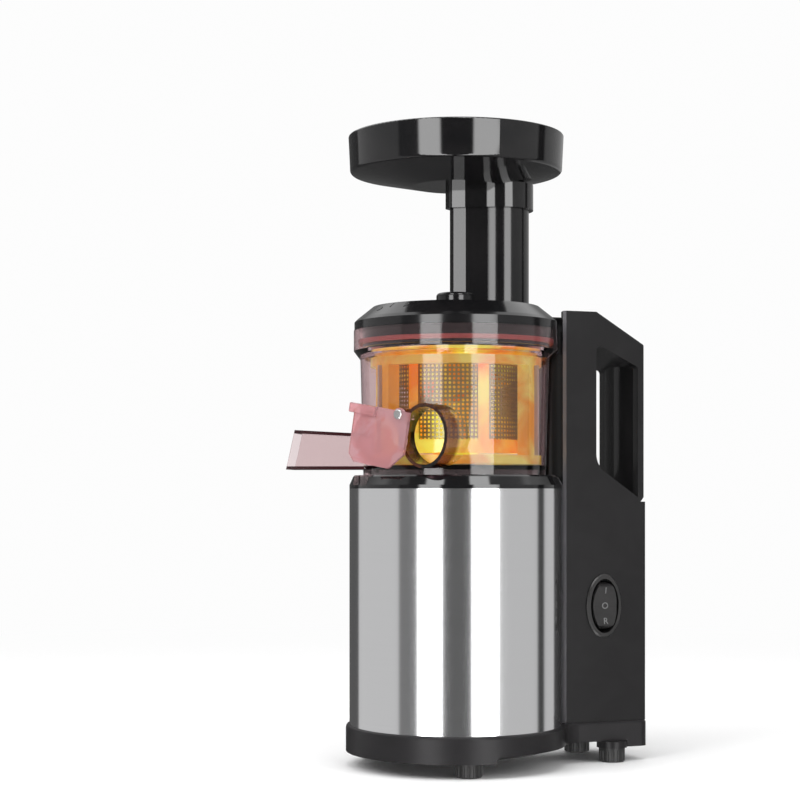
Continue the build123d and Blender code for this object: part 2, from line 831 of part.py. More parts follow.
with BuildPart() as motor_stator:
    with BuildSketch(tier(stack_low)):
        RectangleRounded(stack_side, stack_side, radius=9)
        Circle(rotor_radius + air_gap, mode=Mode.SUBTRACT)
        with PolarLocations(rotor_radius + 8, 12):
            SlotOverall(12, 4, mode=Mode.SUBTRACT)
    extrude(amount=stack_height)
save(motor_stator, "motor_stator")

with BuildPart() as motor_windings:
    for coil_low in (stack_low - winding_height, stack_high):
        with BuildSketch(tier(coil_low)):
            Circle(rotor_radius + 14)
            Circle(rotor_radius + 3, mode=Mode.SUBTRACT)
        extrude(amount=winding_height)
    outer_rims = edges().filter_by(GeomType.CIRCLE).group_by(SortBy.RADIUS)[-1]
    fillet(outer_rims, radius=3)
save(motor_windings, "motor_windings")

rotor_core = ring(rotor_radius, shaft_radius, stack_low, stack_high)
save(rotor_core, "rotor_core")

with BuildPart() as rotor_shaft:
    with BuildSketch(tier(fan_low - 2)):
        Circle(shaft_radius)
    extrude(amount=wheel_high + 1 - fan_low + 2)
    chamfer(edges().group_by(Axis.Z)[0], length=0.5)
save(rotor_shaft, "rotor_shaft")

with BuildPart() as motor_pinion:
    with BuildSketch(tier(wheel_low - 0.5)):
        Polygon(*gear_outline(pinion_teeth, train_module, -90), align=None)
        Circle(shaft_radius, mode=Mode.SUBTRACT)
    extrude(amount=wheel_thickness + 1)
save(motor_pinion, "motor_pinion")

with BuildPart() as cooling_fan:
    with BuildSketch(tier(fan_low)):
        Circle(9)
    extrude(amount=fan_height)
    with BuildSketch(tier(fan_low + fan_height - 1.5)):
        Circle(fan_radius)
    extrude(amount=1.5)
    with BuildSketch(tier(fan_low)):
        with PolarLocations((fan_radius + 7) / 2, fan_blade_count):
            Rectangle(fan_radius - 9, 1.6, rotation=20)
    extrude(amount=fan_height)
    with BuildSketch(tier(fan_low)):
        Circle(shaft_radius)
    extrude(amount=fan_height, mode=Mode.SUBTRACT)
save(cooling_fan, "cooling_fan")

# ---------------------------------------------------------------- gearbox
case_screw_radius = case_radius - 8.0
case_screw_angles = (30, 150, 210, 330)
case_screw_spots = [
    (case_screw_radius * cos(radians(a)), case_screw_radius * sin(radians(a))) for a in case_screw_angles
]
pin_radius = 3.0

with BuildPart() as gearbox_case:
    with BuildSketch(tier(case_low)):
        Circle(case_radius)
    extrude(amount=case_height)
    with BuildSketch(tier(case_low + case_floor)):
        Circle(case_radius - case_wall)
    extrude(amount=case_height, mode=Mode.SUBTRACT)
    with BuildSketch(tier(case_low)):
        with Locations(*case_screw_spots):
            Circle(boss_radius)
        with Locations((0, -gear_centre)):
            Circle(7)
    extrude(amount=case_floor + 1.4)
    with BuildSketch(tier(case_low)):
        with Locations(*case_screw_spots):
            Circle(boss_radius)
    extrude(amount=case_height)
    with BuildSketch(tier(case_low)):
        Circle(10)
    extrude(amount=case_height, mode=Mode.SUBTRACT)
    with BuildSketch(tier(case_low + 1)):
        with Locations((0, -gear_centre)):
            Circle(pin_radius)
    extrude(amount=case_height, mode=Mode.SUBTRACT)
    with BuildSketch(tier(case_low + case_floor)):
        with Locations(*case_screw_spots):
            Circle(1.6)
    extrude(amount=case_height, mode=Mode.SUBTRACT)
save(gearbox_case, "gearbox_case")

with BuildPart() as gearbox_cover:
    with BuildSketch(tier(case_top)):
        Circle(case_radius)
    extrude(amount=cover_plate)
    with BuildSketch(tier(case_top)):
        Circle(drive_radius + bush_wall + 4)
    extrude(amount=cover_plate + 5)
    with BuildSketch(tier(case_top)):
        Circle(drive_radius + bush_wall)
        with Locations(*case_screw_spots):
            Circle(1.7)
    extrude(amount=cover_plate + 5, mode=Mode.SUBTRACT)
    with BuildSketch(tier(case_top)):
        with Locations((0, -gear_centre)):
            Circle(pin_radius)
    extrude(amount=cover_plate - 1, mode=Mode.SUBTRACT)
save(gearbox_cover, "gearbox_cover")

with BuildPart() as gearbox_screws:
    with BuildSketch(tier(case_top + cover_plate)):
        with Locations(*case_screw_spots):
            Circle(3.2)
    extrude(amount=2)
    with BuildSketch(tier(case_top + cover_plate)):
        with Locations(*case_screw_spots):
            Circle(1.55)
    extrude(amount=-14)
save(gearbox_screws, "gearbox_screws")

output_bush = ring(drive_radius + bush_wall - 0.02, drive_radius + running_gap, case_top, case_top + cover_plate + 5)
save(output_bush, "output_bush")

with BuildPart() as reduction_pin:
    with BuildSketch(tier(case_low + 1)):
        with Locations((0, -gear_centre)):
            Circle(pin_radius - 0.01)
    extrude(amount=case_height - 1 + cover_plate - 1)
save(reduction_pin, "reduction_pin")

with BuildPart() as reduction_gear:
    with BuildSketch(tier(wheel_low)):
        with Locations((0, -gear_centre)):
            Polygon(*gear_outline(wheel_teeth, train_module, 90 + 180 / wheel_teeth), align=None)
    extrude(amount=wheel_thickness)
    with BuildSketch(tier(wheel_high)):
        with Locations((0, -gear_centre)):
            Polygon(*gear_outline(pinion_teeth, train_module, 90), align=None)
    extrude(amount=second_high - wheel_high + 1)
    with BuildSketch(tier(wheel_low)):
        with Locations((0, -gear_centre)):
            Circle(pin_radius + running_gap)
    extrude(amount=case_height, mode=Mode.SUBTRACT)
save(reduction_gear, "reduction_gear")

with BuildPart() as output_gear:
    with BuildSketch(tier(second_low)):
        Polygon(*gear_outline(wheel_teeth, train_module, 270 + 180 / wheel_teeth), align=None)
        with PolarLocations(17, 6):
            Circle(4.5, mode=Mode.SUBTRACT)
        Circle(drive_radius, mode=Mode.SUBTRACT)
    extrude(amount=second_high - second_low)
save(output_gear, "output_gear")

hub_top = bowl_floor_bottom + hub_rise
hex_radius = drive_flats / 2 / cos(radians(30))
hex_top = hub_top + 20

with BuildPart() as drive_shaft:
    with BuildSketch(tier(second_low - 1)):
        Circle(drive_radius)
    extrude(amount=hub_top - 6 - second_low + 1)
    with BuildSketch(tier(hub_top - 6)):
        RegularPolygon(hex_radius, 6)
    extrude(amount=hex_top - hub_top + 6)
    chamfer(faces().sort_by(Axis.Z)[-1].edges(), length=0.8)
save(drive_shaft, "drive_shaft")

# ---------------------------------------------------------------- bowl
pivot_spot = (-cap_pivot_side, cap_pivot_rise)
chute_plane = Plane(origin=(0, 0, 0), x_dir=chute_out, z_dir=-chute_across)
chute_low = bowl_bottom + chute_drop
chute_root = bowl_foot_inner - 6.0
idler_distance = brush_module * (sun_teeth + idler_teeth) / 2
idler_spots = [(idler_distance, 0), (-idler_distance, 0)]
idler_pin_radius = 2.5

with BuildPart() as juicing_bowl:
    with BuildSketch(Plane.XZ):
        with BuildLine():
            Polyline(
                (0, bowl_bottom),
                (bowl_foot_radius, bowl_bottom),
                (bowl_radius, flange_bottom),
                (flange_radius, flange_bottom + flange_slope),
                (flange_radius, bowl_top),
                (0, bowl_top),
                close=True,
            )
        make_face()
    revolve(axis=Axis.Z)
    # juice spout, with the lug that carries its cap
    with BuildSketch(spout_plane):
        Ellipse(spout_half_width, spout_half_height)
    extrude(amount=-0.6 * spout_reach)
    with BuildSketch(spout_plane):
        with Locations(pivot_spot):
            Circle(lug_radius)
    extrude(amount=-lug_depth)
    # pulp chute
    with BuildSketch(chute_plane):
        with BuildLine():
            Polyline(
                (chute_root, chute_low),
                (chute_reach, chute_low),
                (chute_reach - chute_slant, chute_low + chute_height),
                (chute_root, chute_low + chute_height - chute_flare),
                close=True,
            )
        make_face()
    extrude(amount=chute_width / 2, both=True)
    # inside
    with BuildSketch(Plane.XZ):
        with BuildLine():
            Polyline(
                (0, bowl_floor_top),
                (bowl_foot_inner, bowl_floor_top),
                (bowl_inner, ledge_height),
                (flange_inner, ledge_height),
                (flange_inner, bowl_top),
                (0, bowl_top),
                close=True,
            )
        make_face()
    revolve(axis=Axis.Z, mode=Mode.SUBTRACT)
    with BuildSketch(tier(bowl_bottom)):
        Circle(bowl_foot_inner)
    extrude(amount=bowl_floor_bottom - bowl_bottom, mode=Mode.SUBTRACT)
    with BuildSketch(spout_plane):
        Ellipse(spout_half_width - spout_wall, spout_half_height - spout_wall)
    extrude(amount=-0.55 * spout_reach, mode=Mode.SUBTRACT)
    with BuildSketch(spout_plane):
        with Locations(pivot_spot):
            Circle(hinge_pin_radius)
    extrude(amount=1 - lug_depth, mode=Mode.SUBTRACT)
    with BuildSketch(chute_plane):
        with BuildLine():
            Polyline(
                (chute_root, chute_low + chute_wall),
                (chute_reach + 5, chute_low + chute_wall),
                (chute_reach + 5, chute_low + chute_height - chute_wall),
                (chute_reach - chute_slant, chute_low + chute_height - chute_wall),
                (chute_root, chute_low + chute_height - chute_flare - chute_wall),
                close=True,
            )
        make_face()
    extrude(amount=chute_width / 2 - chute_wall, both=True, mode=Mode.SUBTRACT)
    # hub round the drive shaft, seats of the idler pins
    with BuildSketch(tier(bowl_floor_bottom)):
        Circle(hub_radius)
    extrude(amount=hub_rise)
    with BuildSketch(tier(bowl_floor_bottom)):
        Circle(drive_radius + 2 * loose_gap)
    extrude(amount=hub_rise, mode=Mode.SUBTRACT)
    with BuildSketch(tier(bowl_floor_top - 1.8)):
        with Locations(*idler_spots):
            Circle(idler_pin_radius)
    extrude(amount=1.8, mode=Mode.SUBTRACT)
save(juicing_bowl, "juicing_bowl")

cap_face = lift_gap + seal_thickness
with BuildPart() as cap_hinge_pin:
    with BuildSketch(spout_plane.offset(1 - lug_depth)):
        with Locations(pivot_spot):
            Circle(hinge_pin_radius - 0.01)
    extrude(amount=lug_depth - 1 + cap_face + cap_thickness + loose_gap)
    with BuildSketch(spout_plane.offset(cap_face + cap_thickness + loose_gap)):
        with Locations(pivot_spot):
            Circle(hinge_pin_head)
    extrude(amount=1.4)
    chamfer(faces().sort_by(Axis((0, 0, 0), tuple(spout_out)))[-1].edges(), length=0.5)
save(cap_hinge_pin, "cap_hinge_pin")

with BuildPart() as idler_pins:
    with BuildSketch(tier(bowl_floor_top - 1.8)):
        with Locations(*idler_spots):
            Circle(idler_pin_radius - 0.01)
    extrude(amount=gear_high + 0.6 - bowl_floor_top + 1.8)
save(idler_pins, "idler_pins")

for name, spot in zip(("right_brush_idler", "left_brush_idler"), idler_spots):
    with BuildPart() as idler:
        with BuildSketch(tier(gear_low)):
            with Locations(spot):
                Polygon(*gear_outline(idler_teeth, brush_module, 180 / idler_teeth), align=None)
                Circle(idler_pin_radius + running_gap, mode=Mode.SUBTRACT)
        extrude(amount=gear_tier)
    save(idler, name)

# ---------------------------------------------------------------- juice cap, shown swung aside
cap_plane = Plane(origin=cap_pivot, x_dir=cap_across, z_dir=spout_out)
cap_middle = (cap_pivot_side, -cap_pivot_rise)
cap_width = 2 * (spout_half_width + cap_overhang)
cap_length = 2 * (spout_half_height + cap_overhang)

with BuildPart() as juice_cap:
    with BuildSketch(cap_plane.offset(cap_face)):
        with Locations(cap_middle):
            Rectangle(cap_width, cap_length)
        chamfer(vertices().sort_by(Axis.X)[-2:].sort_by(Axis.Y)[-1], length=cap_big_chamfer)
        chamfer(vertices().group_by(Axis.Y)[0], length=cap_small_chamfer)
        Circle(lug_radius)
    extrude(amount=cap_thickness)
    with BuildSketch(cap_plane.offset(cap_face + cap_thickness)):
        with Locations((cap_middle[0] - cap_width / 2 + cap_rib_width / 2, -cap_length / 2 - cap_rib_width)):
            Rectangle(cap_rib_width, cap_length / 2)
    extrude(amount=cap_rib_proud, taper=12)
    with BuildSketch(cap_plane.offset(cap_face)):
        Circle(hinge_pin_radius + running_gap)
    extrude(amount=cap_thickness, mode=Mode.SUBTRACT)
save(juice_cap, "juice_cap")

with BuildPart() as cap_seal:
    with BuildSketch(cap_plane.offset(cap_face)):
        with Locations(cap_middle):
            Ellipse(spout_half_width, spout_half_height)
            Ellipse(spout_half_width - seal_width, spout_half_height - seal_width, mode=Mode.SUBTRACT)
        Circle(lug_radius + loose_gap, mode=Mode.SUBTRACT)
    extrude(amount=-seal_thickness)
save(cap_seal, "cap_seal")

# ---------------------------------------------------------------- strainer and brush
strainer_flange_low = ledge_height + 0.02
window_low, window_high = strainer_floor + 9, strainer_flange_low - 7
window_width = 2 * pi * strainer_radius / strainer_window_count - strainer_rib
floor_hole = brush_module * sun_teeth / 2 + brush_module + 0.8

with BuildPart() as strainer_frame:
    with BuildSketch(Plane.XZ):
        with BuildLine():
            Polyline(
                (floor_hole, strainer_floor),
                (strainer_radius, strainer_floor),
                (strainer_radius, strainer_flange_low),
                (flange_inner - lift_gap, strainer_flange_low),
                (flange_inner - lift_gap, strainer_flange_low + strainer_flange_thickness),
                (mesh_outer + seat_gap, strainer_flange_low + strainer_flange_thickness),
                (mesh_outer + seat_gap, strainer_floor_top),
                (floor_hole, strainer_floor_top),
                close=True,
            )
        make_face()
    revolve(axis=Axis.Z)
    with Locations((0, 0, (window_low + window_high) / 2)):
        with PolarLocations(strainer_radius, strainer_window_count, start_angle=30):
            Box(14, window_width, window_high - window_low, mode=Mode.SUBTRACT)
save(strainer_frame, "strainer_frame")

strainer_mesh = ring(mesh_outer, mesh_radius, strainer_floor_top, strainer_flange_low)
save(strainer_mesh, "strainer_mesh")

brush_inner = brush_radius - brush_wall
brush_top = strainer_flange_low - 3
ring_teeth = sun_teeth + 2 * idler_teeth

with BuildPart() as brush_frame:
    with BuildSketch(tier(gear_low)):
        Circle(brush_radius)
        Polygon(*gear_outline(ring_teeth, brush_module, 0, inward=True), align=None, mode=Mode.SUBTRACT)
    extrude(amount=gear_tier)
    with BuildSketch(tier(gear_high)):
        Circle(brush_radius)
        Circle(brush_inner, mode=Mode.SUBTRACT)
        with PolarLocations(brush_radius, brush_post_count, start_angle=40):
            Rectangle(4 * brush_wall, brush_post_width, mode=Mode.INTERSECT)
        with PolarLocations(brush_radius, brush_post_count, start_angle=40):
            Rectangle(4 * brush_wall, wiper_thickness, mode=Mode.SUBTRACT)
    extrude(amount=brush_top - brush_ring_height - gear_high)
    with BuildSketch(tier(brush_top - brush_ring_height)):
        Circle(brush_radius)
        Circle(brush_inner, mode=Mode.SUBTRACT)
    extrude(amount=brush_ring_height)
save(brush_frame, "brush_frame")

wiper_inner = strainer_radius + loose_gap
wiper_outer = bowl_foot_inner - loose_gap
wiper_top = brush_top - brush_ring_height

with BuildPart() as wiper_blades:
    with BuildSketch(tier(gear_high)):
        with PolarLocations((wiper_inner + wiper_outer) / 2, brush_post_count, start_angle=40):
            Rectangle(wiper_outer - wiper_inner, wiper_thickness)
    extrude(amount=wiper_top - gear_high)
save(wiper_blades, "wiper_blades")

# ---------------------------------------------------------------- auger
neck_top = strainer_floor_top + 0.8
auger_top = bowl_top - 13.0
flight_low = neck_top + 1.0
flight_top = auger_top - 4.0
auger_pin_top = bowl_top + 12.0
hub_room = hub_radius + 0.6
hex_bore_radius = (drive_flats / 2 + 0.15) / cos(radians(30))

blade_half = 2.0

# one flight: a blade profile carried along a helix
with BuildPart() as flight:
    with BuildLine(tier(flight_low)) as lead:
        Helix(pitch=auger_flight_pitch, height=flight_top - flight_low, radius=auger_radius)
    with BuildSketch(Plane(origin=lead.line @ 0, x_dir=(1, 0, 0), z_dir=lead.line % 0)):
        with BuildLine():
            Polyline(
                (auger_tip_radius - 3 - auger_radius, -2 * blade_half),
                (auger_tip_radius - 3 - auger_radius, 2 * blade_half),
                (-1, blade_half),
                (0, blade_half - 0.8),
                (0, 0.8 - blade_half),
                (-1, -blade_half),
                close=True,
            )
        make_face()
    sweep(path=lead.line, is_frenet=True)

with BuildPart() as auger:
    with BuildSketch(Plane.XZ):
        with BuildLine():
            Polyline(
                (0, gear_high),
                (auger_neck_radius, gear_high),
                (auger_neck_radius, neck_top),
                (auger_base_radius, neck_top),
                (auger_base_radius, neck_top + auger_skirt_height),
            )
            Spline(
                (auger_base_radius, neck_top + auger_skirt_height),
                (auger_base_radius - auger_waist_step, neck_top + auger_waist_height),
                (auger_tip_radius, auger_top),
                tangents=((-0.3, 1), (-0.1, 1)),
            )
            Polyline((auger_tip_radius, auger_top), (0, auger_top), (0, gear_high))
        make_face()
    revolve(axis=Axis.Z)
    with PolarLocations(0, auger_flight_count):
        add(flight.part)
    with BuildSketch(tier(gear_high)):
        Circle(auger_radius)
    extrude(amount=auger_top - gear_high, mode=Mode.INTERSECT)
    with BuildSketch(tier(gear_high)):
        Circle(2 * auger_radius)
        Circle(auger_neck_radius, mode=Mode.SUBTRACT)
    extrude(amount=neck_top - gear_high, mode=Mode.SUBTRACT)
    with BuildSketch(tier(gear_low)):
        Polygon(*gear_outline(sun_teeth, brush_module, 0), align=None)
    extrude(amount=gear_tier)
    with BuildSketch(tier(gear_low)):
        Circle(hub_room)
    extrude(amount=hub_top + 1.5 - gear_low, mode=Mode.SUBTRACT)
    with BuildSketch(tier(hub_top)):
        RegularPolygon(hex_bore_radius, 6)
    extrude(amount=hex_top - hub_top + 1, mode=Mode.SUBTRACT)
    with BuildSketch(tier(auger_top)):
        Circle(auger_pin_radius)
    extrude(amount=-16, mode=Mode.SUBTRACT)
save(auger, "auger")

with BuildPart() as auger_pin:
    with BuildSketch(tier(auger_top - 16)):
        Circle(auger_pin_radius - 0.01)
    extrude(amount=auger_pin_top - auger_top + 16)
    chamfer(edges().group_by(Axis.Z)[-1], length=0.8)
save(auger_pin, "auger_pin")

# ---------------------------------------------------------------- lid
tube_top = bowl_top + tube_rise
lobe_floor = bowl_top + lid_dome_rise + lid_boss_rise
throat_radius = mesh_radius - 1.0
throat_low = auger_top + 2.5
throat_ledge = bowl_top + 6.0
skirt_outer = flange_inner - 3.2
skirt_inner = skirt_outer - lid_wall
bush_radius = auger_pin_radius + bush_wall

with BuildSketch() as tube_outline:
    with Locations((0, tube_y)):
        Circle(tube_radius)

with BuildSketch() as feed_outline:
    add(tube_outline.sketch)
    with BuildLine():
        Polyline(
            (lobe_tip_half, lobe_tip_y),
            (lobe_mid_half, lobe_mid_y),
            (lobe_root_half, tube_y - 8),
            (-lobe_root_half, tube_y - 8),
            (-lobe_mid_half, lobe_mid_y),
            (-lobe_tip_half, lobe_tip_y),
            close=True,
        )
    make_face()

with BuildPart() as lid:
    with BuildSketch(Plane.XZ):
        with BuildLine():
            Polyline(
                (0, bowl_top),
                (lid_radius, bowl_top),
                (lid_radius, bowl_top + lid_band),
                (lid_radius - 2, bowl_top + lid_band + 2),
                (lid_shoulder_radius, bowl_top + lid_shoulder_rise),
                (0, bowl_top + lid_dome_rise),
                close=True,
            )
        make_face()
    revolve(axis=Axis.Z)
    with BuildSketch(tier(bowl_top)):
        Circle(lid_boss_radius)
    extrude(amount=lid_dome_rise + lid_boss_rise)
    boss_edge = edges().filter_by(GeomType.CIRCLE).filter_by_position(Axis.Z, lobe_floor - 0.1, lobe_floor + 0.1)
    fillet(boss_edge, radius=2.5)
    # hollow under the dome
    with BuildSketch(Plane.XZ):
        with BuildLine():
            Polyline(
                (0, bowl_top),
                (skirt_inner, bowl_top),
                (skirt_inner, bowl_top + lid_band),
                (lid_shoulder_radius - lid_wall, bowl_top + lid_shoulder_rise - lid_wall),
                (0, bowl_top + lid_dome_rise - lid_wall),
                close=True,
            )
        make_face()
    revolve(axis=Axis.Z, mode=Mode.SUBTRACT)
    # skirt that enters the bowl, with its gasket groove
    with BuildSketch(Plane.XZ):
        with BuildLine():
            Polyline(
                (skirt_inner, bowl_top),
                (skirt_outer, bowl_top),
                (skirt_outer, bowl_top - lid_skirt_depth + 5),
                (skirt_outer - 1, bowl_top - lid_skirt_depth + 5),
                (skirt_outer - 1, bowl_top - lid_skirt_depth + 2),
                (skirt_outer, bowl_top - lid_skirt_depth + 2),
                (skirt_outer, bowl_top - lid_skirt_depth),
                (skirt_inner, bowl_top - lid_skirt_depth),
                close=True,
            )
        make_face()
    revolve(axis=Axis.Z)
    # holder of the auger's upper bush
    with BuildSketch(tier(bowl_top + 2)):
        Circle(bush_radius + lid_wall)
    extrude(amount=lid_dome_rise - 2)
    with BuildSketch(tier(bowl_top + 2)):
        Circle(bush_radius)
    extrude(amount=12, mode=Mode.SUBTRACT)
    # feed tube with its lobe, and the throat that leads into the strainer
    with BuildSketch(tier(bowl_top + lid_dome_rise - lid_wall)):
        add(feed_outline.sketch)
    extrude(amount=tube_rise - lid_dome_rise + lid_wall)
    with BuildSketch(tier(throat_low)):
        add(tube_outline.sketch)
        Circle(bush_radius + lid_wall + 0.5, mode=Mode.SUBTRACT)
    extrude(amount=bowl_top + lid_shoulder_rise - throat_low)
    with BuildSketch(tier(lobe_floor)):
        offset(feed_outline.sketch, amount=-tube_wall)
    extrude(amount=tube_rise, mode=Mode.SUBTRACT)
    with BuildSketch(tier(throat_ledge)):
        offset(tube_outline.sketch, amount=-tube_wall)
    extrude(amount=tube_rise, mode=Mode.SUBTRACT)
    with BuildSketch(tier(throat_low)):
        offset(tube_outline.sketch, amount=-tube_wall)
        Circle(throat_radius, mode=Mode.INTERSECT)
    extrude(amount=throat_ledge - throat_low, mode=Mode.SUBTRACT)
    # rear tab that enters the tower
    with BuildSketch(tier(bowl_top + lid_tab_rise)):
        with Locations((0, (lid_tab_reach + lid_radius - 10) / 2)):
            Rectangle(2 * lid_tab_half, lid_tab_reach - lid_radius + 10)
        chamfer(vertices().group_by(Axis.Y)[-1], length=2)
    extrude(amount=lid_tab_thickness)
save(lid, "lid")

lid_gasket = ring(
    flange_inner - loose_gap,
    skirt_outer - 1,
    bowl_top - lid_skirt_depth + 2,
    bowl_top - lid_skirt_depth + 5,
)
save(lid_gasket, "lid_gasket")

lid_bush = ring(bush_radius - 0.02, auger_pin_radius + running_gap, bowl_top + 2, bowl_top + 14)
save(lid_bush, "lid_bush")

# ---------------------------------------------------------------- hopper tray
tray_top = bowl_top + tray_rise
tray_ridge = tray_top - tray_depth
tray_low = tray_ridge - tray_dish
sleeve_low = bowl_top + tray_sleeve_rise
tray_seat = tube_top + seat_gap

with BuildPart() as hopper_tray:
    with BuildSketch(Plane.XZ):
        with BuildLine():
            Polyline(
                (0, tray_low),
                (tray_neck_radius, tray_low),
                (tray_radius - 1.2, tray_ridge),
                (tray_radius, tray_top),
                (0, tray_top),
                close=True,
            )
        make_face()
    revolve(axis=Axis.Z)
    ridge_edges = edges().filter_by(GeomType.CIRCLE).filter_by_position(Axis.Z, tray_ridge - 0.1, tray_ridge + 0.1)
    fillet(ridge_edges, radius=2.5)
    with BuildSketch(Plane.XZ):
        with BuildLine():
            Polyline(
                (0, tray_low + tray_wall),
                (tray_neck_radius, tray_low + tray_wall),
                (tray_radius - 1.2 - tray_wall, tray_ridge + tray_wall),
                (tray_radius - tray_wall, tray_top),
                (0, tray_top),
                close=True,
            )
        make_face()
    revolve(axis=Axis.Z, mode=Mode.SUBTRACT)
    rim = faces().sort_by(Axis.Z)[-1].edges()
    fillet(rim, radius=0.9)
    with BuildSketch(tier(sleeve_low)):
        offset(feed_outline.sketch, amount=lift_gap + tray_sleeve_wall)
    extrude(amount=tray_low + tray_wall - sleeve_low)
    with BuildSketch(tier(sleeve_low)):
        offset(feed_outline.sketch, amount=lift_gap)
    extrude(amount=tray_seat - sleeve_low, mode=Mode.SUBTRACT)
    with BuildSketch(tier(sleeve_low)):
        offset(feed_outline.sketch, amount=-tube_wall)
    extrude(amount=tray_top - sleeve_low, mode=Mode.SUBTRACT)
save(hopper_tray, "hopper_tray")
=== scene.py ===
import json
from math import cos, pi, radians, sin

import bmesh
import bpy
from mathutils import Matrix, Vector
from mathutils.bvhtree import BVHTree


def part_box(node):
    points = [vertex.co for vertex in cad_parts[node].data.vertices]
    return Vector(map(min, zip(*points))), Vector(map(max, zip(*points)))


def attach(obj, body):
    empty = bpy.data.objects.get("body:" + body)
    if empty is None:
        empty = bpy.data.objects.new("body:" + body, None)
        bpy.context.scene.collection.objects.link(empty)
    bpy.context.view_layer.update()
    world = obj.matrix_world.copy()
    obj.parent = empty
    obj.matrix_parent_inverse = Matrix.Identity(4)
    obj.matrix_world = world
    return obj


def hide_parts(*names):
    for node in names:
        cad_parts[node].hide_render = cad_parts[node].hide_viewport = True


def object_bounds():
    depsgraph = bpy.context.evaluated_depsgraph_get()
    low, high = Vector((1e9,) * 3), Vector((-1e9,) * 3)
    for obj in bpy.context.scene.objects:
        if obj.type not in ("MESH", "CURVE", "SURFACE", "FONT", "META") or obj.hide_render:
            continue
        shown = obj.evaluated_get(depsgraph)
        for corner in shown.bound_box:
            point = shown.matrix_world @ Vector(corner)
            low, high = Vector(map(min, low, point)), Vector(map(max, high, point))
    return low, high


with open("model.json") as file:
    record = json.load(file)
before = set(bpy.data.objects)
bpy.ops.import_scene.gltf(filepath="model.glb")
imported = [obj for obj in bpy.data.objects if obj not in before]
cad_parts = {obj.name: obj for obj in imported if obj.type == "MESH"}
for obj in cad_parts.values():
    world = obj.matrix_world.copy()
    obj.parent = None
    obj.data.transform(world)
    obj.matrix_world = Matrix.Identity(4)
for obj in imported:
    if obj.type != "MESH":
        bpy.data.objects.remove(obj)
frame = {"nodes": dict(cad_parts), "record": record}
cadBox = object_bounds()
nodes = frame["nodes"]
print("stage: frame loaded with", len(nodes), "nodes")

mm = 0.001


# node tree helpers
def addNode(tree, kind, x, y, **settings):
    node = tree.nodes.new(kind)
    node.location = (x, y)
    for name, value in settings.items():
        setattr(node, name, value)
    return node


# gives a socket another socket's output, or a plain value
def feed(tree, socket, given):
    if isinstance(given, bpy.types.NodeSocket):
        tree.links.new(given, socket)
    else:
        socket.default_value = given


def feedAll(tree, node, given):
    for label, value in given.items():
        feed(tree, node.inputs[label], value)


def mathNode(tree, operation, x, y, *values):
    node = addNode(tree, "ShaderNodeMath", x, y, operation=operation)
    for socket, value in zip(node.inputs, values):
        feed(tree, socket, value)
    return node.outputs[0]


# goes from 0 to 1 while the value goes from low to high
def rampNode(tree, x, y, value, low, high, interpolation="SMOOTHSTEP"):
    ramp = addNode(tree, "ShaderNodeMapRange", x, y, interpolation_type=interpolation)
    feedAll(tree, ramp, {"Value": value, "From Min": low, "From Max": high})
    return ramp.outputs["Result"]


def mixColours(tree, x, y, factor, first, second):
    mix = addNode(tree, "ShaderNodeMix", x, y, data_type="RGBA")
    feedAll(tree, mix, {"Factor": factor, "A": first, "B": second})
    return mix.outputs["Result"]


# one shader where the factor is 0, the other where it is 1
def chooseShader(tree, x, y, factor, first, second):
    choice = addNode(tree, "ShaderNodeMixShader", x, y)
    for socket, given in zip(choice.inputs, (factor, first, second)):
        feed(tree, socket, given)
    return choice.outputs[0]


def noiseNode(tree, x, y, vector, scale, detail, **others):
    noise = addNode(tree, "ShaderNodeTexNoise", x, y)
    feedAll(tree, noise, {"Vector": vector, "Scale": scale, "Detail": detail, **others})
    return noise.outputs["Fac"]


def objectSpot(tree, x, y):
    return addNode(tree, "ShaderNodeTexCoord", x, y).outputs["Object"]


def newShaderGroup(name, inputs, outputs):
    tree = bpy.data.node_groups.new(name, "ShaderNodeTree")
    for label, kind, default in inputs:
        socket = tree.interface.new_socket(name=label, in_out="INPUT", socket_type=kind)
        socket.default_value = default
    for label, kind in outputs:
        tree.interface.new_socket(name=label, in_out="OUTPUT", socket_type=kind)
    source = addNode(tree, "NodeGroupInput", -900, 0)
    sink = addNode(tree, "NodeGroupOutput", 700, 0)
    return tree, source.outputs, sink


def useGroup(tree, group, x, y, values):
    node = addNode(tree, "ShaderNodeGroup", x, y)
    node.node_tree = group
    feedAll(tree, node, values)
    return node.outputs


def newObject(name, data):
    thing = bpy.data.objects.new(name, data)
    bpy.context.scene.collection.objects.link(thing)
    return thing


def grey(level):
    return level, level, level, 1


def onCircle(radius, i, count):
    return radius * cos(2 * pi * i / count), radius * sin(2 * pi * i / count)


# shared effects
# a roughness that wanders with a noise, by the spread that the group is given
def wander(tree, x, y, noise, given):
    centred = mathNode(tree, "SUBTRACT", x, y, noise, 0.5)
    return mathNode(tree, "MULTIPLY_ADD", x + 200, y, centred, given["Roughness Spread"], given["Roughness"])


# moulded grain: fine height and a roughness that wanders over the surface
grainTree, given, sink = newShaderGroup(
    "mouldedGrain",
    [
        ("Grain Scale", "NodeSocketFloat", 1500.0),
        ("Drift Scale", "NodeSocketFloat", 40.0),
        ("Roughness", "NodeSocketFloat", 0.4),
        ("Roughness Spread", "NodeSocketFloat", 0.05),
    ],
    [("Height", "NodeSocketFloat"), ("Roughness", "NodeSocketFloat")],
)
spot = objectSpot(grainTree, -900, 300)
grain = noiseNode(grainTree, -600, 200, spot, given["Grain Scale"], 3.0)
drift = noiseNode(grainTree, -600, -100, spot, given["Drift Scale"], 4.0)
feedAll(grainTree, sink, {"Height": grain, "Roughness": wander(grainTree, -350, -100, drift, given)})

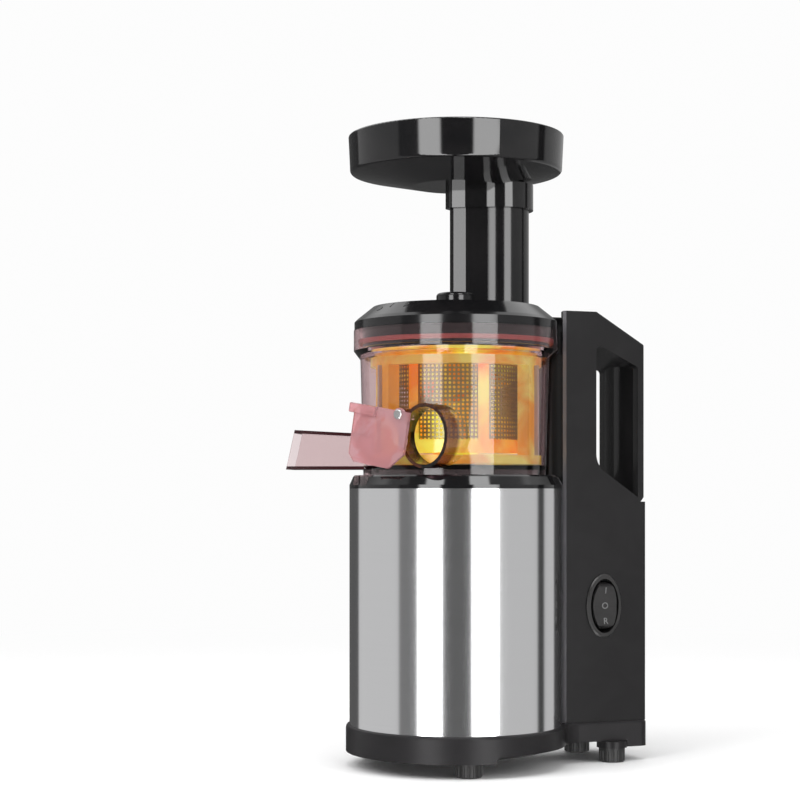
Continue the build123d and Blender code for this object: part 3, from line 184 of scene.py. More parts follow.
# tint drift: two near colours that run into each other, the softer the wider their border
tintTree, given, sink = newShaderGroup(
    "tintDrift",
    [
        ("Colour", "NodeSocketColor", (0.5, 0.5, 0.5, 1)),
        ("Other Colour", "NodeSocketColor", (0.4, 0.4, 0.4, 1)),
        ("Scale", "NodeSocketFloat", 30.0),
        ("Softness", "NodeSocketFloat", 0.2),
    ],
    [("Colour", "NodeSocketColor")],
)
spot = objectSpot(tintTree, -900, 300)
cloud = noiseNode(tintTree, -600, 200, spot, given["Scale"], 3.0, Distortion=0.8)
low = mathNode(tintTree, "MULTIPLY_ADD", -600, -60, given["Softness"], -0.5, 0.5)
high = mathNode(tintTree, "SUBTRACT", -400, -60, 1.0, low)
border = rampNode(tintTree, -150, 100, cloud, low, high, "LINEAR")
mixed = mixColours(tintTree, 150, 100, border, given["Colour"], given["Other Colour"])
feedAll(tintTree, sink, {"Colour": mixed})

# brushed lines: long fine scratches, drawn by stretched noise
brushTree, given, sink = newShaderGroup(
    "brushedLines",
    [
        ("Stretch", "NodeSocketVector", (30.0, 30.0, 3000.0)),
        ("Roughness", "NodeSocketFloat", 0.3),
        ("Roughness Spread", "NodeSocketFloat", 0.1),
        ("Colour", "NodeSocketColor", (0.6, 0.6, 0.6, 1)),
        ("Line Colour", "NodeSocketColor", (0.5, 0.5, 0.5, 1)),
    ],
    [("Height", "NodeSocketFloat"), ("Roughness", "NodeSocketFloat"), ("Colour", "NodeSocketColor")],
)
stretch = addNode(brushTree, "ShaderNodeVectorMath", -700, 200, operation="MULTIPLY")
feed(brushTree, stretch.inputs[0], objectSpot(brushTree, -900, 300))
feed(brushTree, stretch.inputs[1], given["Stretch"])
scratches = noiseNode(brushTree, -450, 200, stretch.outputs[0], 1.0, 4.0, Roughness=0.6)
mixed = mixColours(brushTree, 200, 200, scratches, given["Line Colour"], given["Colour"])
roughness = wander(brushTree, -200, -100, scratches, given)
feedAll(brushTree, sink, {"Height": scratches, "Roughness": roughness, "Colour": mixed})


# finishes
def newFinish(name):
    material = bpy.data.materials.new(name)
    material.use_nodes = True
    shader = material.node_tree.nodes["Principled BSDF"]
    shader.location = (500, 0)
    return material, material.node_tree, shader


def addBump(tree, shader, height, distance):
    bump = addNode(tree, "ShaderNodeBump", 250, -300)
    feedAll(tree, bump, {"Distance": distance, "Strength": 1.0, "Height": height})
    feed(tree, shader.inputs["Normal"], bump.outputs["Normal"])


# painted shade: darkens the surface round a spot, out to an ellipsoid given by its half sizes
def shadedColour(tree, colour, shade):
    local = addNode(tree, "ShaderNodeMapping", -900, 600, vector_type="TEXTURE")
    local.inputs["Location"].default_value = [value * mm for value in shade["at"]]
    local.inputs["Rotation"].default_value = (0, 0, radians(shade["turn"]))
    local.inputs["Scale"].default_value = [value * mm for value in shade["halfSizes"]]
    feed(tree, local.inputs["Vector"], objectSpot(tree, -1100, 600))
    ball = addNode(tree, "ShaderNodeTexGradient", -700, 600, gradient_type="SPHERICAL")
    feed(tree, ball.inputs["Vector"], local.outputs["Vector"])
    fade = rampNode(tree, -500, 600, ball.outputs["Fac"], *shade["fade"])
    return mixColours(tree, -50, 500, fade, colour, (*shade["colour"], 1))


def tintedColour(tree, look):
    tint = useGroup(
        tree, tintTree, -200, 200,
        {
            "Colour": (*look["colour"], 1),
            "Other Colour": (*look["otherColour"], 1),
            "Scale": look["tintScale"],
            "Softness": look["tintSoftness"],
        },
    )
    return tint["Colour"]


def mouldedFinish(name, look):
    material, tree, shader = newFinish(name)
    tinted = tintedColour(tree, look)
    texture = useGroup(
        tree, grainTree, -200, -100,
        {
            "Grain Scale": look["grainScale"],
            "Drift Scale": look["driftScale"],
            "Roughness": look["roughness"],
            "Roughness Spread": look["spread"],
        },
    )
    colour = shadedColour(tree, tinted, look["shade"]) if "shade" in look else tinted
    feedAll(tree, shader, {"Base Color": colour, "Roughness": texture["Roughness"], **look["shader"]})
    addBump(tree, shader, texture["Height"], look["grainDepth"] * mm)
    # painted light: the part gives off light of its own, though it is no lamp, so it reads bright inside the
    # bowl
    if "glow" in look:
        feedAll(tree, shader, {"Emission Color": tinted, "Emission Strength": look["glow"]})
    if "tint" in look:
        depth = addNode(tree, "ShaderNodeVolumeAbsorption", 500, -700)
        feedAll(tree, depth, {"Color": (*look["tint"], 1), "Density": look["density"]})
        feed(tree, tree.nodes["Material Output"].inputs["Volume"], depth.outputs[0])
    return material


def brushedFinish(name, look):
    material, tree, shader = newFinish(name)
    brushing = useGroup(
        tree, brushTree, -200, 0,
        {
            "Stretch": look["stretch"],
            "Roughness": look["roughness"],
            "Roughness Spread": look["spread"],
            "Colour": (*look["colour"], 1),
            "Line Colour": (*look["lineColour"], 1),
        },
    )
    surface = {"Base Color": brushing["Colour"], "Roughness": brushing["Roughness"], "Metallic": 1.0}
    feedAll(tree, shader, {**surface, **look["shader"]})
    addBump(tree, shader, brushing["Height"], look["lineDepth"] * mm)
    return material


# printed marks: a tint without grain
def paintFinish(name, look):
    material, tree, shader = newFinish(name)
    feedAll(tree, shader, {"Base Color": tintedColour(tree, look), "Roughness": look["roughness"]})
    return material


# values for what a look leaves out
commonLook = {"tintScale": 25.0, "tintSoftness": 0.2, "driftScale": 30.0, "shader": {}}

mouldedLooks = {
    "gloss_black_plastic": {
        "colour": (0.004, 0.004, 0.0045), "otherColour": (0.007, 0.0065, 0.007),
        "grainScale": 60.0, "grainDepth": 0.004, "roughness": 0.07, "spread": 0.04,
        "shader": {"Coat Weight": 0.15, "Coat Roughness": 0.03},
    },
    "lid_black_plastic": {
        "colour": (0.005, 0.005, 0.0055), "otherColour": (0.008, 0.0075, 0.008),
        "grainScale": 60.0, "grainDepth": 0.004, "roughness": 0.13, "spread": 0.04,
    },
    "satin_black_plastic": {
        "colour": (0.013, 0.0125, 0.013), "otherColour": (0.015, 0.0145, 0.015),
        "grainScale": 1600.0, "grainDepth": 0.004, "roughness": 0.17, "spread": 0.02,
        "shader": {"Specular IOR Level": 0.2},
    },
    # painted highlight: a paler copy of the satin black, standing in for the light on the tower's front
    # chamfers
    "edge_black_plastic": {
        "colour": (0.150, 0.146, 0.154), "otherColour": (0.158, 0.152, 0.161),
        "grainScale": 1600.0, "grainDepth": 0.004, "roughness": 0.4, "spread": 0.02,
        "shader": {"Specular IOR Level": 0.8},
    },
    "base_black_plastic": {
        "colour": (0.015, 0.0142, 0.015), "otherColour": (0.018, 0.017, 0.018),
        "grainScale": 1600.0, "grainDepth": 0.005, "roughness": 0.34, "spread": 0.03,
        "shader": {"Specular IOR Level": 0.14},
    },
    "switch_plastic": {
        "colour": (0.02, 0.02, 0.02), "otherColour": (0.028, 0.027, 0.027),
        "grainScale": 1500.0, "grainDepth": 0.01, "roughness": 0.2, "spread": 0.06,
        "shader": {"Specular IOR Level": 0.25},
    },
    "rose_clear_plastic": {
        "colour": (0.96, 0.90, 0.90), "otherColour": (0.97, 0.92, 0.915),
        "grainScale": 60.0, "grainDepth": 0.003, "roughness": 0.03, "spread": 0.02,
        "shader": {"Transmission Weight": 1.0, "IOR": 1.47},
        "tint": (0.75, 0.64, 0.655), "density": 340.0,
        # painted shade round the spout's mouth, where the inside of the tube lies in shadow
        "shade": {
            "at": (60.5, -48.2, 223.0), "turn": 33.0, "halfSizes": (30.0, 22.0, 33.0), "fade": (0.02, 0.22),
            "colour": (0.30, 0.17, 0.20),
        },
    },
    "cap_rose_plastic": {
        "colour": (0.72, 0.43, 0.46), "otherColour": (0.70, 0.34, 0.36),
        "tintScale": 45.0, "tintSoftness": 0.1,
        "grainScale": 60.0, "grainDepth": 0.004, "roughness": 0.08, "spread": 0.04,
        "shader": {"Transmission Weight": 0.65, "IOR": 1.47},
    },
    "amber_plastic": {
        "colour": (1.0, 0.98, 0.14), "otherColour": (0.97, 0.30, 0.008),
        "tintScale": 30.0, "tintSoftness": 0.22,
        "grainScale": 300.0, "grainDepth": 0.02, "roughness": 0.24, "spread": 0.1,
        "shader": {"Coat Weight": 0.4, "Coat Roughness": 0.1},
        # painted light: a glow of its own that brightens the part
        "glow": 0.35,
    },
    "brush_plastic": {
        "colour": (1.0, 0.98, 0.24), "otherColour": (0.97, 0.46, 0.025),
        "tintScale": 30.0, "tintSoftness": 0.22,
        "grainScale": 300.0, "grainDepth": 0.02, "roughness": 0.28, "spread": 0.1,
        # painted light: a glow of its own that brightens the part
        "glow": 0.25,
    },
    "gear_plastic": {
        "colour": (0.80, 0.78, 0.70), "otherColour": (0.74, 0.71, 0.62),
        "grainScale": 900.0, "grainDepth": 0.02, "roughness": 0.45, "spread": 0.1,
    },
    "silicone": {
        "colour": (0.72, 0.66, 0.60), "otherColour": (0.66, 0.60, 0.55),
        "grainScale": 700.0, "grainDepth": 0.02, "roughness": 0.5, "spread": 0.1,
    },
    "clear_silicone": {
        "colour": (0.86, 0.62, 0.62), "otherColour": (0.82, 0.56, 0.57),
        "grainScale": 500.0, "grainDepth": 0.005, "roughness": 0.28, "spread": 0.08,
        "shader": {"Transmission Weight": 0.75, "IOR": 1.41},
    },
    "rose_silicone": {
        "colour": (0.62, 0.17, 0.15), "otherColour": (0.54, 0.13, 0.12),
        "grainScale": 600.0, "grainDepth": 0.01, "roughness": 0.4, "spread": 0.1,
    },
    "foot_rubber": {
        "colour": (0.014, 0.014, 0.014), "otherColour": (0.02, 0.019, 0.019),
        "grainScale": 1200.0, "grainDepth": 0.03, "roughness": 0.45, "spread": 0.1,
        "shader": {"Specular IOR Level": 0.3},
    },
    "board_laminate": {
        "colour": (0.02, 0.16, 0.06), "otherColour": (0.03, 0.20, 0.08),
        "grainScale": 500.0, "grainDepth": 0.02, "roughness": 0.4, "spread": 0.1,
    },
    "component_case": {
        "colour": (0.06, 0.07, 0.16), "otherColour": (0.08, 0.09, 0.19),
        "grainScale": 900.0, "grainDepth": 0.02, "roughness": 0.4, "spread": 0.1,
    },
}

brushedLooks = {
    "wrap_steel": {
        "stretch": (10.0, 10.0, 2600.0), "colour": (0.84, 0.84, 0.85), "lineColour": (0.78, 0.78, 0.79),
        "roughness": 0.11, "spread": 0.05, "lineDepth": 0.0015,
        "shader": {"Anisotropic": 0.4},
    },
    "strainer_steel": {
        "stretch": (400.0, 400.0, 400.0), "colour": (0.46, 0.42, 0.19), "lineColour": (0.38, 0.33, 0.14),
        "roughness": 0.5, "spread": 0.1, "lineDepth": 0.01,
    },
    "screw_steel": {
        "stretch": (900.0, 900.0, 900.0), "colour": (0.66, 0.66, 0.66), "lineColour": (0.5, 0.5, 0.5),
        "roughness": 0.25, "spread": 0.1, "lineDepth": 0.01,
    },
    "bush_bronze": {
        "stretch": (1200.0, 1200.0, 1200.0), "colour": (0.62, 0.40, 0.18), "lineColour": (0.46, 0.28, 0.12),
        "roughness": 0.4, "spread": 0.15, "lineDepth": 0.02,
    },
    "cast_alloy": {
        "stretch": (700.0, 700.0, 700.0), "colour": (0.52, 0.52, 0.53), "lineColour": (0.42, 0.42, 0.43),
        "roughness": 0.5, "spread": 0.15, "lineDepth": 0.05,
    },
    "core_steel": {
        "stretch": (20.0, 20.0, 2000.0), "colour": (0.24, 0.24, 0.25), "lineColour": (0.12, 0.12, 0.13),
        "roughness": 0.45, "spread": 0.15, "lineDepth": 0.1,
    },
    "copper_winding": {
        "stretch": (300.0, 300.0, 2500.0), "colour": (0.72, 0.28, 0.10), "lineColour": (0.45, 0.15, 0.05),
        "roughness": 0.35, "spread": 0.15, "lineDepth": 0.2,
    },
}

paintLooks = {
    "mark_paint": {
        "colour": (0.15, 0.15, 0.15), "otherColour": (0.11, 0.11, 0.11),
        "tintScale": 900.0, "tintSoftness": 0.3, "roughness": 0.45,
    },
    "dark_paint": {
        "colour": (0.005, 0.005, 0.005), "otherColour": (0.009, 0.009, 0.009),
        "tintScale": 900.0, "tintSoftness": 0.3, "roughness": 0.3,
    },
}

finishes = {}
for finishMaker, looks in (
    (mouldedFinish, mouldedLooks), (brushedFinish, brushedLooks), (paintFinish, paintLooks),
):
    for name, look in looks.items():
        finishes[name] = finishMaker(name, {**commonLook, **look})

# these pieces look unlike the others of their material slot
ownFinishes = {
    "cap_seal": "clear_silicone", "juice_cap": "cap_rose_plastic", "lid_gasket": "rose_silicone",
    "lid": "lid_black_plastic", "base_shell": "base_black_plastic",
}
for part in frame["record"]["subparts"]:
    slots = nodes[part["node"]].data.materials
    slots.clear()
    slots.append(finishes[ownFinishes.get(part["node"], part["material_slot"])])

# painted highlight: the tower's two front chamfers catch more light than its sides, so they are painted a
# paler black that stands in for that light; a face belongs to them by where its middle lies, in millimetres,
# and by the way that it points
towerHighlightFaces = {"side": 25.0, "depth": 75.0, "sideways": (0.4, 0.8), "forward": 0.5, "level": 0.2}
for name in ("tower_right_half", "tower_left_half"):
    mesh = nodes[name].data
    mesh.materials.append(finishes["edge_black_plastic"])
    for face in mesh.polygons:
        middle, normal = face.center, face.normal
        inPlace = abs(middle.x) > towerHighlightFaces["side"] * mm and middle.y < towerHighlightFaces["depth"] * mm
        slanted = towerHighlightFaces["sideways"][0] < abs(normal.x) < towerHighlightFaces["sideways"][1]
        if inPlace and slanted and -normal.y > towerHighlightFaces["forward"] and abs(normal.z) < towerHighlightFaces["level"]:
            face.material_index = 1
print("stage: finishes on the solids")


# pieces that repeat, grown by geometry nodes
def newGrowTree(name, inputs):
    tree = bpy.data.node_groups.new(name, "GeometryNodeTree")
    tree.interface.new_socket(name="Geometry", in_out="INPUT", socket_type="NodeSocketGeometry")
    tree.interface.new_socket(name="Geometry", in_out="OUTPUT", socket_type="NodeSocketGeometry")
    for label, kind in inputs:
        tree.interface.new_socket(name=label, in_out="INPUT", socket_type=kind)
    source = addNode(tree, "NodeGroupInput", -1400, 0)
    sink = addNode(tree, "NodeGroupOutput", 1400, 0)
    return tree, source.outputs, sink


# one step of a tree: the node takes the geometry so far in its first socket
def addStep(tree, kind, x, y, geometry, given=()):
    step = addNode(tree, kind, x, y)
    feed(tree, step.inputs[0], geometry)
    feedAll(tree, step, dict(given))
    return step.outputs[0]


# gives the plain mesh object that a tree makes out of its seed object
def grow(name, seed, tree, values):
    modifier = seed.modifiers.new("grow", "NODES")
    modifier.node_group = tree
    for item in tree.interface.items_tree:
        if item.in_out == "INPUT" and item.name in values:
            modifier[item.identifier] = values[item.name]
    evaluated = seed.evaluated_get(bpy.context.evaluated_depsgraph_get())
    mesh = bpy.data.meshes.new_from_object(evaluated)
    bpy.data.objects.remove(seed)
    mesh.name = name
    return newObject(name, mesh)


def settle(piece, body):
    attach(piece, body)


# perforated sheet: one cell with an eight-sided hole, repeated and wrapped round the strainer
wrapTree, given, sink = newGrowTree(
    "perforatedWrap",
    [
        ("Count Around", "NodeSocketInt"), ("Rows", "NodeSocketInt"), ("Radius", "NodeSocketFloat"),
        ("Low", "NodeSocketFloat"), ("Row Height", "NodeSocketFloat"), ("Thickness", "NodeSocketFloat"),
        ("Material", "NodeSocketMaterial"),
    ],
)
oneSpot = {"Distance": 0.01 * mm}  # corners nearer than this are merged

grid = addNode(wrapTree, "GeometryNodeMeshGrid", -1100, 300)
for side, count, y in (("X", "Count Around", 300), ("Y", "Rows", 150)):
    feed(wrapTree, grid.inputs["Vertices " + side], given[count])
    feed(wrapTree, grid.inputs["Size " + side], mathNode(wrapTree, "SUBTRACT", -1300, y, given[count], 1))
cells = addStep(
    wrapTree, "GeometryNodeInstanceOnPoints", -850, 300, grid.outputs["Mesh"],
    {"Instance": given["Geometry"]},
)
flat = addStep(wrapTree, "GeometryNodeRealizeInstances", -650, 300, cells)

# a flat spot's X becomes a turn round the axis, and its Y a height
at = addNode(wrapTree, "GeometryNodeInputPosition", -1100, -200)
along = addNode(wrapTree, "ShaderNodeSeparateXYZ", -950, -200)
feed(wrapTree, along.inputs[0], at.outputs[0])
turns = mathNode(wrapTree, "DIVIDE", -800, -100, along.outputs["X"], given["Count Around"])
angle = mathNode(wrapTree, "MULTIPLY", -650, -100, turns, 2 * pi)
rowMiddle = mathNode(wrapTree, "MULTIPLY", -800, -400, given["Rows"], 0.5)
rowAt = mathNode(wrapTree, "ADD", -650, -400, along.outputs["Y"], rowMiddle)
rise = mathNode(wrapTree, "MULTIPLY", -500, -400, rowAt, given["Row Height"])
wrapped = addNode(wrapTree, "ShaderNodeCombineXYZ", -200, -200)
for side, operation, y in (("X", "COSINE", -50), ("Y", "SINE", -200)):
    share = mathNode(wrapTree, operation, -500, y, angle)
    feed(wrapTree, wrapped.inputs[side], mathNode(wrapTree, "MULTIPLY", -350, y, share, given["Radius"]))
feed(wrapTree, wrapped.inputs["Z"], mathNode(wrapTree, "ADD", -350, -400, rise, given["Low"]))

placed = addStep(wrapTree, "GeometryNodeSetPosition", -50, 300, flat, {"Position": wrapped.outputs[0]})
joined = addStep(wrapTree, "GeometryNodeMergeByDistance", 150, 300, placed, oneSpot)
thick = addStep(
    wrapTree, "GeometryNodeExtrudeMesh", 350, 400, joined,
    {"Individual": False, "Offset Scale": given["Thickness"]},
)
inner = addStep(wrapTree, "GeometryNodeFlipFaces", 350, 150, joined)
both = addNode(wrapTree, "GeometryNodeJoinGeometry", 600, 300)
feed(wrapTree, both.inputs[0], thick)
feed(wrapTree, both.inputs[0], inner)
closed = addStep(wrapTree, "GeometryNodeMergeByDistance", 800, 300, both.outputs[0], oneSpot)
coated = addStep(wrapTree, "GeometryNodeSetMaterial", 1000, 300, closed, {"Material": given["Material"]})
feed(wrapTree, sink.inputs["Geometry"], coated)

strainerSheet = {"across": 96, "rows": 23, "radius": 44.0 * mm, "thickness": 0.5 * mm, "hole": 0.33}
sheetLow, sheetHigh = (corner[2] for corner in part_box("strainer_mesh"))
compass = [pi / 4 * i for i in range(8)]
hole = [(strainerSheet["hole"] * cos(a), strainerSheet["hole"] * sin(a), 0) for a in compass]
edge = [(0.5 * round(cos(a) * 1.4), 0.5 * round(sin(a) * 1.4), 0) for a in compass]  # unit square
cellMesh = bpy.data.meshes.new("cell")
cellMesh.from_pydata(hole + edge, [], [(i, i + 8, (i + 1) % 8 + 8, (i + 1) % 8) for i in range(8)])
sheet = grow(
    "strainer_sheet", newObject("cell", cellMesh), wrapTree,
    {
        "Count Around": strainerSheet["across"],
        "Rows": strainerSheet["rows"],
        "Radius": strainerSheet["radius"],
        "Low": sheetLow,
        "Row Height": (sheetHigh - sheetLow) / strainerSheet["rows"],
        "Thickness": strainerSheet["thickness"],
        "Material": finishes["strainer_steel"],
    },
)
settle(sheet, "bowl")
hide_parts("strainer_mesh")
print("stage: strainer sheet,", len(sheet.data.polygons), "faces")

# screws with a cross recess, set at their spots
scatterTree, given, sink = newGrowTree(
    "setScrews",
    [("Screw", "NodeSocketObject"), ("Turn", "NodeSocketRotation"), ("Material", "NodeSocketMaterial")],
)
screwInfo = addNode(scatterTree, "GeometryNodeObjectInfo", -1000, -100)
feed(scatterTree, screwInfo.inputs["Object"], given["Screw"])
screws = addStep(
    scatterTree, "GeometryNodeInstanceOnPoints", -700, 100, given["Geometry"],
    {"Instance": screwInfo.outputs["Geometry"], "Rotation": given["Turn"]},
)
real = addStep(scatterTree, "GeometryNodeRealizeInstances", -400, 100, screws)
coated = addStep(scatterTree, "GeometryNodeSetMaterial", -100, 100, real, {"Material": given["Material"]})
feed(scatterTree, sink.inputs["Geometry"], coated)


def ringOf(mesh, radius, height, count=32):
    return [mesh.verts.new((*onCircle(radius, i, count), height)) for i in range(count)]


def bridge(mesh, upper, lower):
    count = len(upper)
    for i in range(count):
        mesh.faces.new((upper[i], lower[i], lower[(i + 1) % count], upper[(i + 1) % count]))


# the finished bmesh as an object, its faces pointing out
def objectFrom(mesh, name, turnOut=True):
    if turnOut:
        bmesh.ops.recalc_face_normals(mesh, faces=mesh.faces)
    data = bpy.data.meshes.new(name)
    mesh.to_mesh(data)
    mesh.free()
    return newObject(name, data)


# pan head screw along Z, the top of its head at the origin
def screwPiece(name, size):
    head, shank, headLow, tip = size["head"], size["shank"], -size["headHeight"], -size["length"]
    mesh = bmesh.new()
    profile = [
        (0.72 * head, 0.0), (0.88 * head, -0.08 * head), (0.97 * head, -0.24 * head), (head, -0.42 * head),
        (head, headLow), (shank, headLow), (shank, tip + shank), (0.35 * shank, tip),
    ]
    rings = [ringOf(mesh, radius, height) for radius, height in profile]
    for upper, lower in zip(rings, rings[1:]):
        bridge(mesh, upper, lower)
    mesh.faces.new(list(reversed(rings[-1])))
    arm = size["recess"]
    half = arm * 0.24  # half of an arm's width
    taper = 0.7  # the recess's floor against its rim
    outline = [
        (arm, -half), (arm, half), (half, half), (half, arm), (-half, arm), (-half, half),
        (-arm, half), (-arm, -half), (-half, -half), (-half, -arm), (half, -arm), (half, -half),
    ]
    top = [mesh.verts.new((x, y, 0)) for x, y in outline]
    low = [mesh.verts.new((taper * x, taper * y, -size["recessDepth"])) for x, y in outline]
    rim = [mesh.edges.get((rings[0][i], rings[0][i - 1])) for i in range(len(rings[0]))]
    cross = [mesh.edges.new((top[i], top[i - 1])) for i in range(len(top))]
    bmesh.ops.triangle_fill(mesh, use_beauty=True, edges=rim + cross)
    bridge(mesh, top, low)
    mesh.faces.new(low)
    return objectFrom(mesh, name)


screwSets = {
    "tower_cross_screws": {
        "replaces": "tower_screws", "turn": (0, radians(-90), 0),
        "spots": [(-28, 112, 42), (-28, 112, 166), (-28, 84, 216), (-28, 84, 266)],
        "size": {
            "head": 3.2, "headHeight": 2.0, "shank": 1.55, "length": 28.0, "recess": 1.7, "recessDepth": 1.2,
        },
    },
    "foot_cross_screws": {
        "replaces": "foot_screws", "turn": (pi, 0, 0),
        "spots": [(58.92, -15.79, 2), (-58.92, -15.79, 2), (27, 106, 2), (-27, 106, 2)],
        "size": {
            "head": 3.6, "headHeight": 2.0, "shank": 2.0, "length": 8.0, "recess": 1.9, "recessDepth": 1.2,
        },
    },
}
for name, screwSet in screwSets.items():
    screw = screwPiece("oneScrew", {label: value * mm for label, value in screwSet["size"].items()})
    spotMesh = bpy.data.meshes.new("spots")
    spotMesh.from_pydata([[v * mm for v in spot] for spot in screwSet["spots"]], [], [])
    piece = grow(
        name, newObject("spots", spotMesh), scatterTree,
        {"Screw": screw, "Turn": screwSet["turn"], "Material": finishes["screw_steel"]},
    )
    bpy.data.objects.remove(screw)
    settle(piece, "base")
    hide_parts(screwSet["replaces"])
print("stage: screws")

# switch marks: on and reverse on the rocker's two slopes, and off laid over the dip between them
switchMarks = {
    "pivot": (98.6, 108.0), "face": 30.8, "slope": 0.1294, "dipLift": 0.3, "thick": 0.3, "height": 6.16,
    "marks": [("I", 10.5), ("O", 0.0), ("R", -10.5)],
}
markMesh = bmesh.new()
for letter, offset in switchMarks["marks"]:
    curve = bpy.data.curves.new("letter", "FONT")
    curve.body = letter
    curve.align_x = "CENTER"
    curve.align_y = "CENTER"
    curve.size = switchMarks["height"] * mm
    curve.extrude = switchMarks["thick"] / 2 * mm
    text = newObject("letter", curve)
    half = (offset > 0) - (offset < 0)  # 1 on the upper slope, -1 on the lower one, 0 between them
    up = Vector((switchMarks["slope"] * half, 0, 1)).normalized()
    across = Vector((0, 1, 0))
    facing = across.cross(up)
    outward = switchMarks["face"] + switchMarks["slope"] * abs(offset)
    spot = Vector((
        outward if half else outward + switchMarks["dipLift"],
        switchMarks["pivot"][0],
        switchMarks["pivot"][1] + offset,
    )) * mm
    bpy.context.view_layer.update()
    letterMesh = bpy.data.meshes.new_from_object(text.evaluated_get(bpy.context.evaluated_depsgraph_get()))
    turn = Matrix((across, up, facing)).transposed().to_4x4()
    letterMesh.transform(Matrix.Translation(spot) @ turn)
    markMesh.from_mesh(letterMesh)
    bpy.data.objects.remove(text)
bmesh.ops.remove_doubles(markMesh, verts=markMesh.verts, dist=0.001 * mm)
rockerMarks = objectFrom(markMesh, "rocker_marks", turnOut=False)
rockerMarks.data.materials.append(finishes["mark_paint"])
settle(rockerMarks, "rocker")

# lid marks: an oval, a bar and a triangle, laid on the dome
lidShape = bmesh.new()
lidShape.from_mesh(nodes["lid"].data)
lidTree = BVHTree.FromBMesh(lidShape)
lidShape.free()


def onBearing(bearing, radius):
    return radius * sin(radians(bearing)), -radius * cos(radians(bearing))


oval = [(3.6 * cos(pi / 12 * i), 1.9 * sin(pi / 12 * i)) for i in range(24)]
lidMarks = {
    "above": 0.25, "below": -0.3,  # how far a mark's two faces lie from the dome
    "marks": [
        {"at": onBearing(10, 61), "shape": oval},
        {"at": onBearing(22, 58), "shape": [(-0.5, -3.2), (0.5, -3.2), (0.5, 3.2), (-0.5, 3.2)]},
        {"at": onBearing(34, 60), "shape": [(-2.2, 1.6), (0.0, -2.2), (2.2, 1.6)]},
    ],
}


# thin patch that follows the dome, its outline given round its middle in millimetres
def patchOnLid(mesh, middle, outline):
    rows = []
    for lift in (lidMarks["above"], lidMarks["below"]):
        row = []
        for x, y in outline + [(0, 0)]:
            start = Vector(((middle[0] + x) * mm, (middle[1] + y) * mm, cadBox[1][2] + mm))
            place, normal, _, _ = lidTree.ray_cast(start, Vector((0, 0, -1)))
            row.append(mesh.verts.new(place + normal * lift * mm))
        rows.append(row)
    top, bottom = rows
    count = len(outline)
    for i in range(count):
        after = (i + 1) % count
        mesh.faces.new((top[i], top[after], top[count]))
        mesh.faces.new((bottom[after], bottom[i], bottom[count]))
        mesh.faces.new((top[after], top[i], bottom[i], bottom[after]))


patches = bmesh.new()
for mark in lidMarks["marks"]:
    patchOnLid(patches, mark["at"], mark["shape"])
lidMarkPiece = objectFrom(patches, "lid_marks")
lidMarkPiece.data.materials.append(finishes["dark_paint"])
settle(lidMarkPiece, "lid")
print("stage: marks")

# camera
camera = {
    "bearing": 67.0, "distance": 1.3, "height": 0.188, "turn": 1.69,
    "lens": 85.2, "sensor": 36.0, "shiftY": 0.1125,
}
bearing = radians(camera["bearing"])
cameraData = bpy.data.cameras.new("mainCamera")
cameraData.lens = camera["lens"]
cameraData.sensor_width = camera["sensor"]
cameraData.shift_y = camera["shiftY"]
cameraObject = newObject("mainCamera", cameraData)
cameraObject.location = (
    camera["distance"] * sin(bearing), -camera["distance"] * cos(bearing), camera["height"],
)
cameraObject.rotation_euler = (radians(90), 0, bearing + radians(camera["turn"]))
bpy.context.scene.camera = cameraObject

# softboxes, aimed at a spot on the axis; gloss doesn't show them
softboxAim = Vector((0, 0, 0.2))
softboxes = {
    "keyBox": {"bearing": 15.0, "rise": 38.0, "reach": 2.2, "size": 1.3, "power": 26.0},
    "fillBox": {"bearing": 125.0, "rise": 25.0, "reach": 2.4, "size": 1.2, "power": 14.0},
    "topBox": {"bearing": 60.0, "rise": 78.0, "reach": 2.0, "size": 1.4, "power": 16.0},
}
for name, box in softboxes.items():
    lamp = bpy.data.lights.new(name, "AREA")
    lamp.size = box["size"]
    lamp.energy = box["power"]
    lampObject = newObject(name, lamp)
    turn, rise = radians(box["bearing"]), radians(box["rise"])
    away = Vector((sin(turn) * cos(rise), -cos(turn) * cos(rise), sin(rise))) * box["reach"]
    lampObject.location = away + softboxAim
    lampObject.rotation_euler = (-away).to_track_quat("-Z", "Y").to_euler()
    lampObject.visible_glossy = False

studio = {
    "backdrop": (0.98, 0.98, 0.98), "surround": (0.74, 0.74, 0.74),
    "floor": (0.92, 0.92, 0.92), "floorRoughness": 0.55, "floorRadius": 6.0, "floorSides": 96,
    "floorFade": (0.25, 1.3),  # how far out the floor runs into the backdrop
}

# what gloss shows: upright strips of light, with a darker belt above eye level that keeps tops dark, and
# a pale sheet over the far side
strips = {
    # bearing from the front towards +X, and level from there to the next bearing
    "levels": [
        (-180, 0.5), (-125, 0.1), (-62, 0.6), (4, 0.2), (27.5, 7.0), (51, 0.13), (85.5, 7.0), (111.5, 0.56),
        (165, 0.05), (176, 0.5),
    ],
    "seamLevel": 0.55,  # level at the very first bearing
    "blur": 1.2,  # half of the turn over which one level goes into the next
    "belt": 0.3, "beltLow": (0.2, 0.26), "beltHigh": (0.45, 0.55),
    "sheet": 1.5, "sheetRise": (0.35, 0.65), "sheetEdge": 0.1,
}

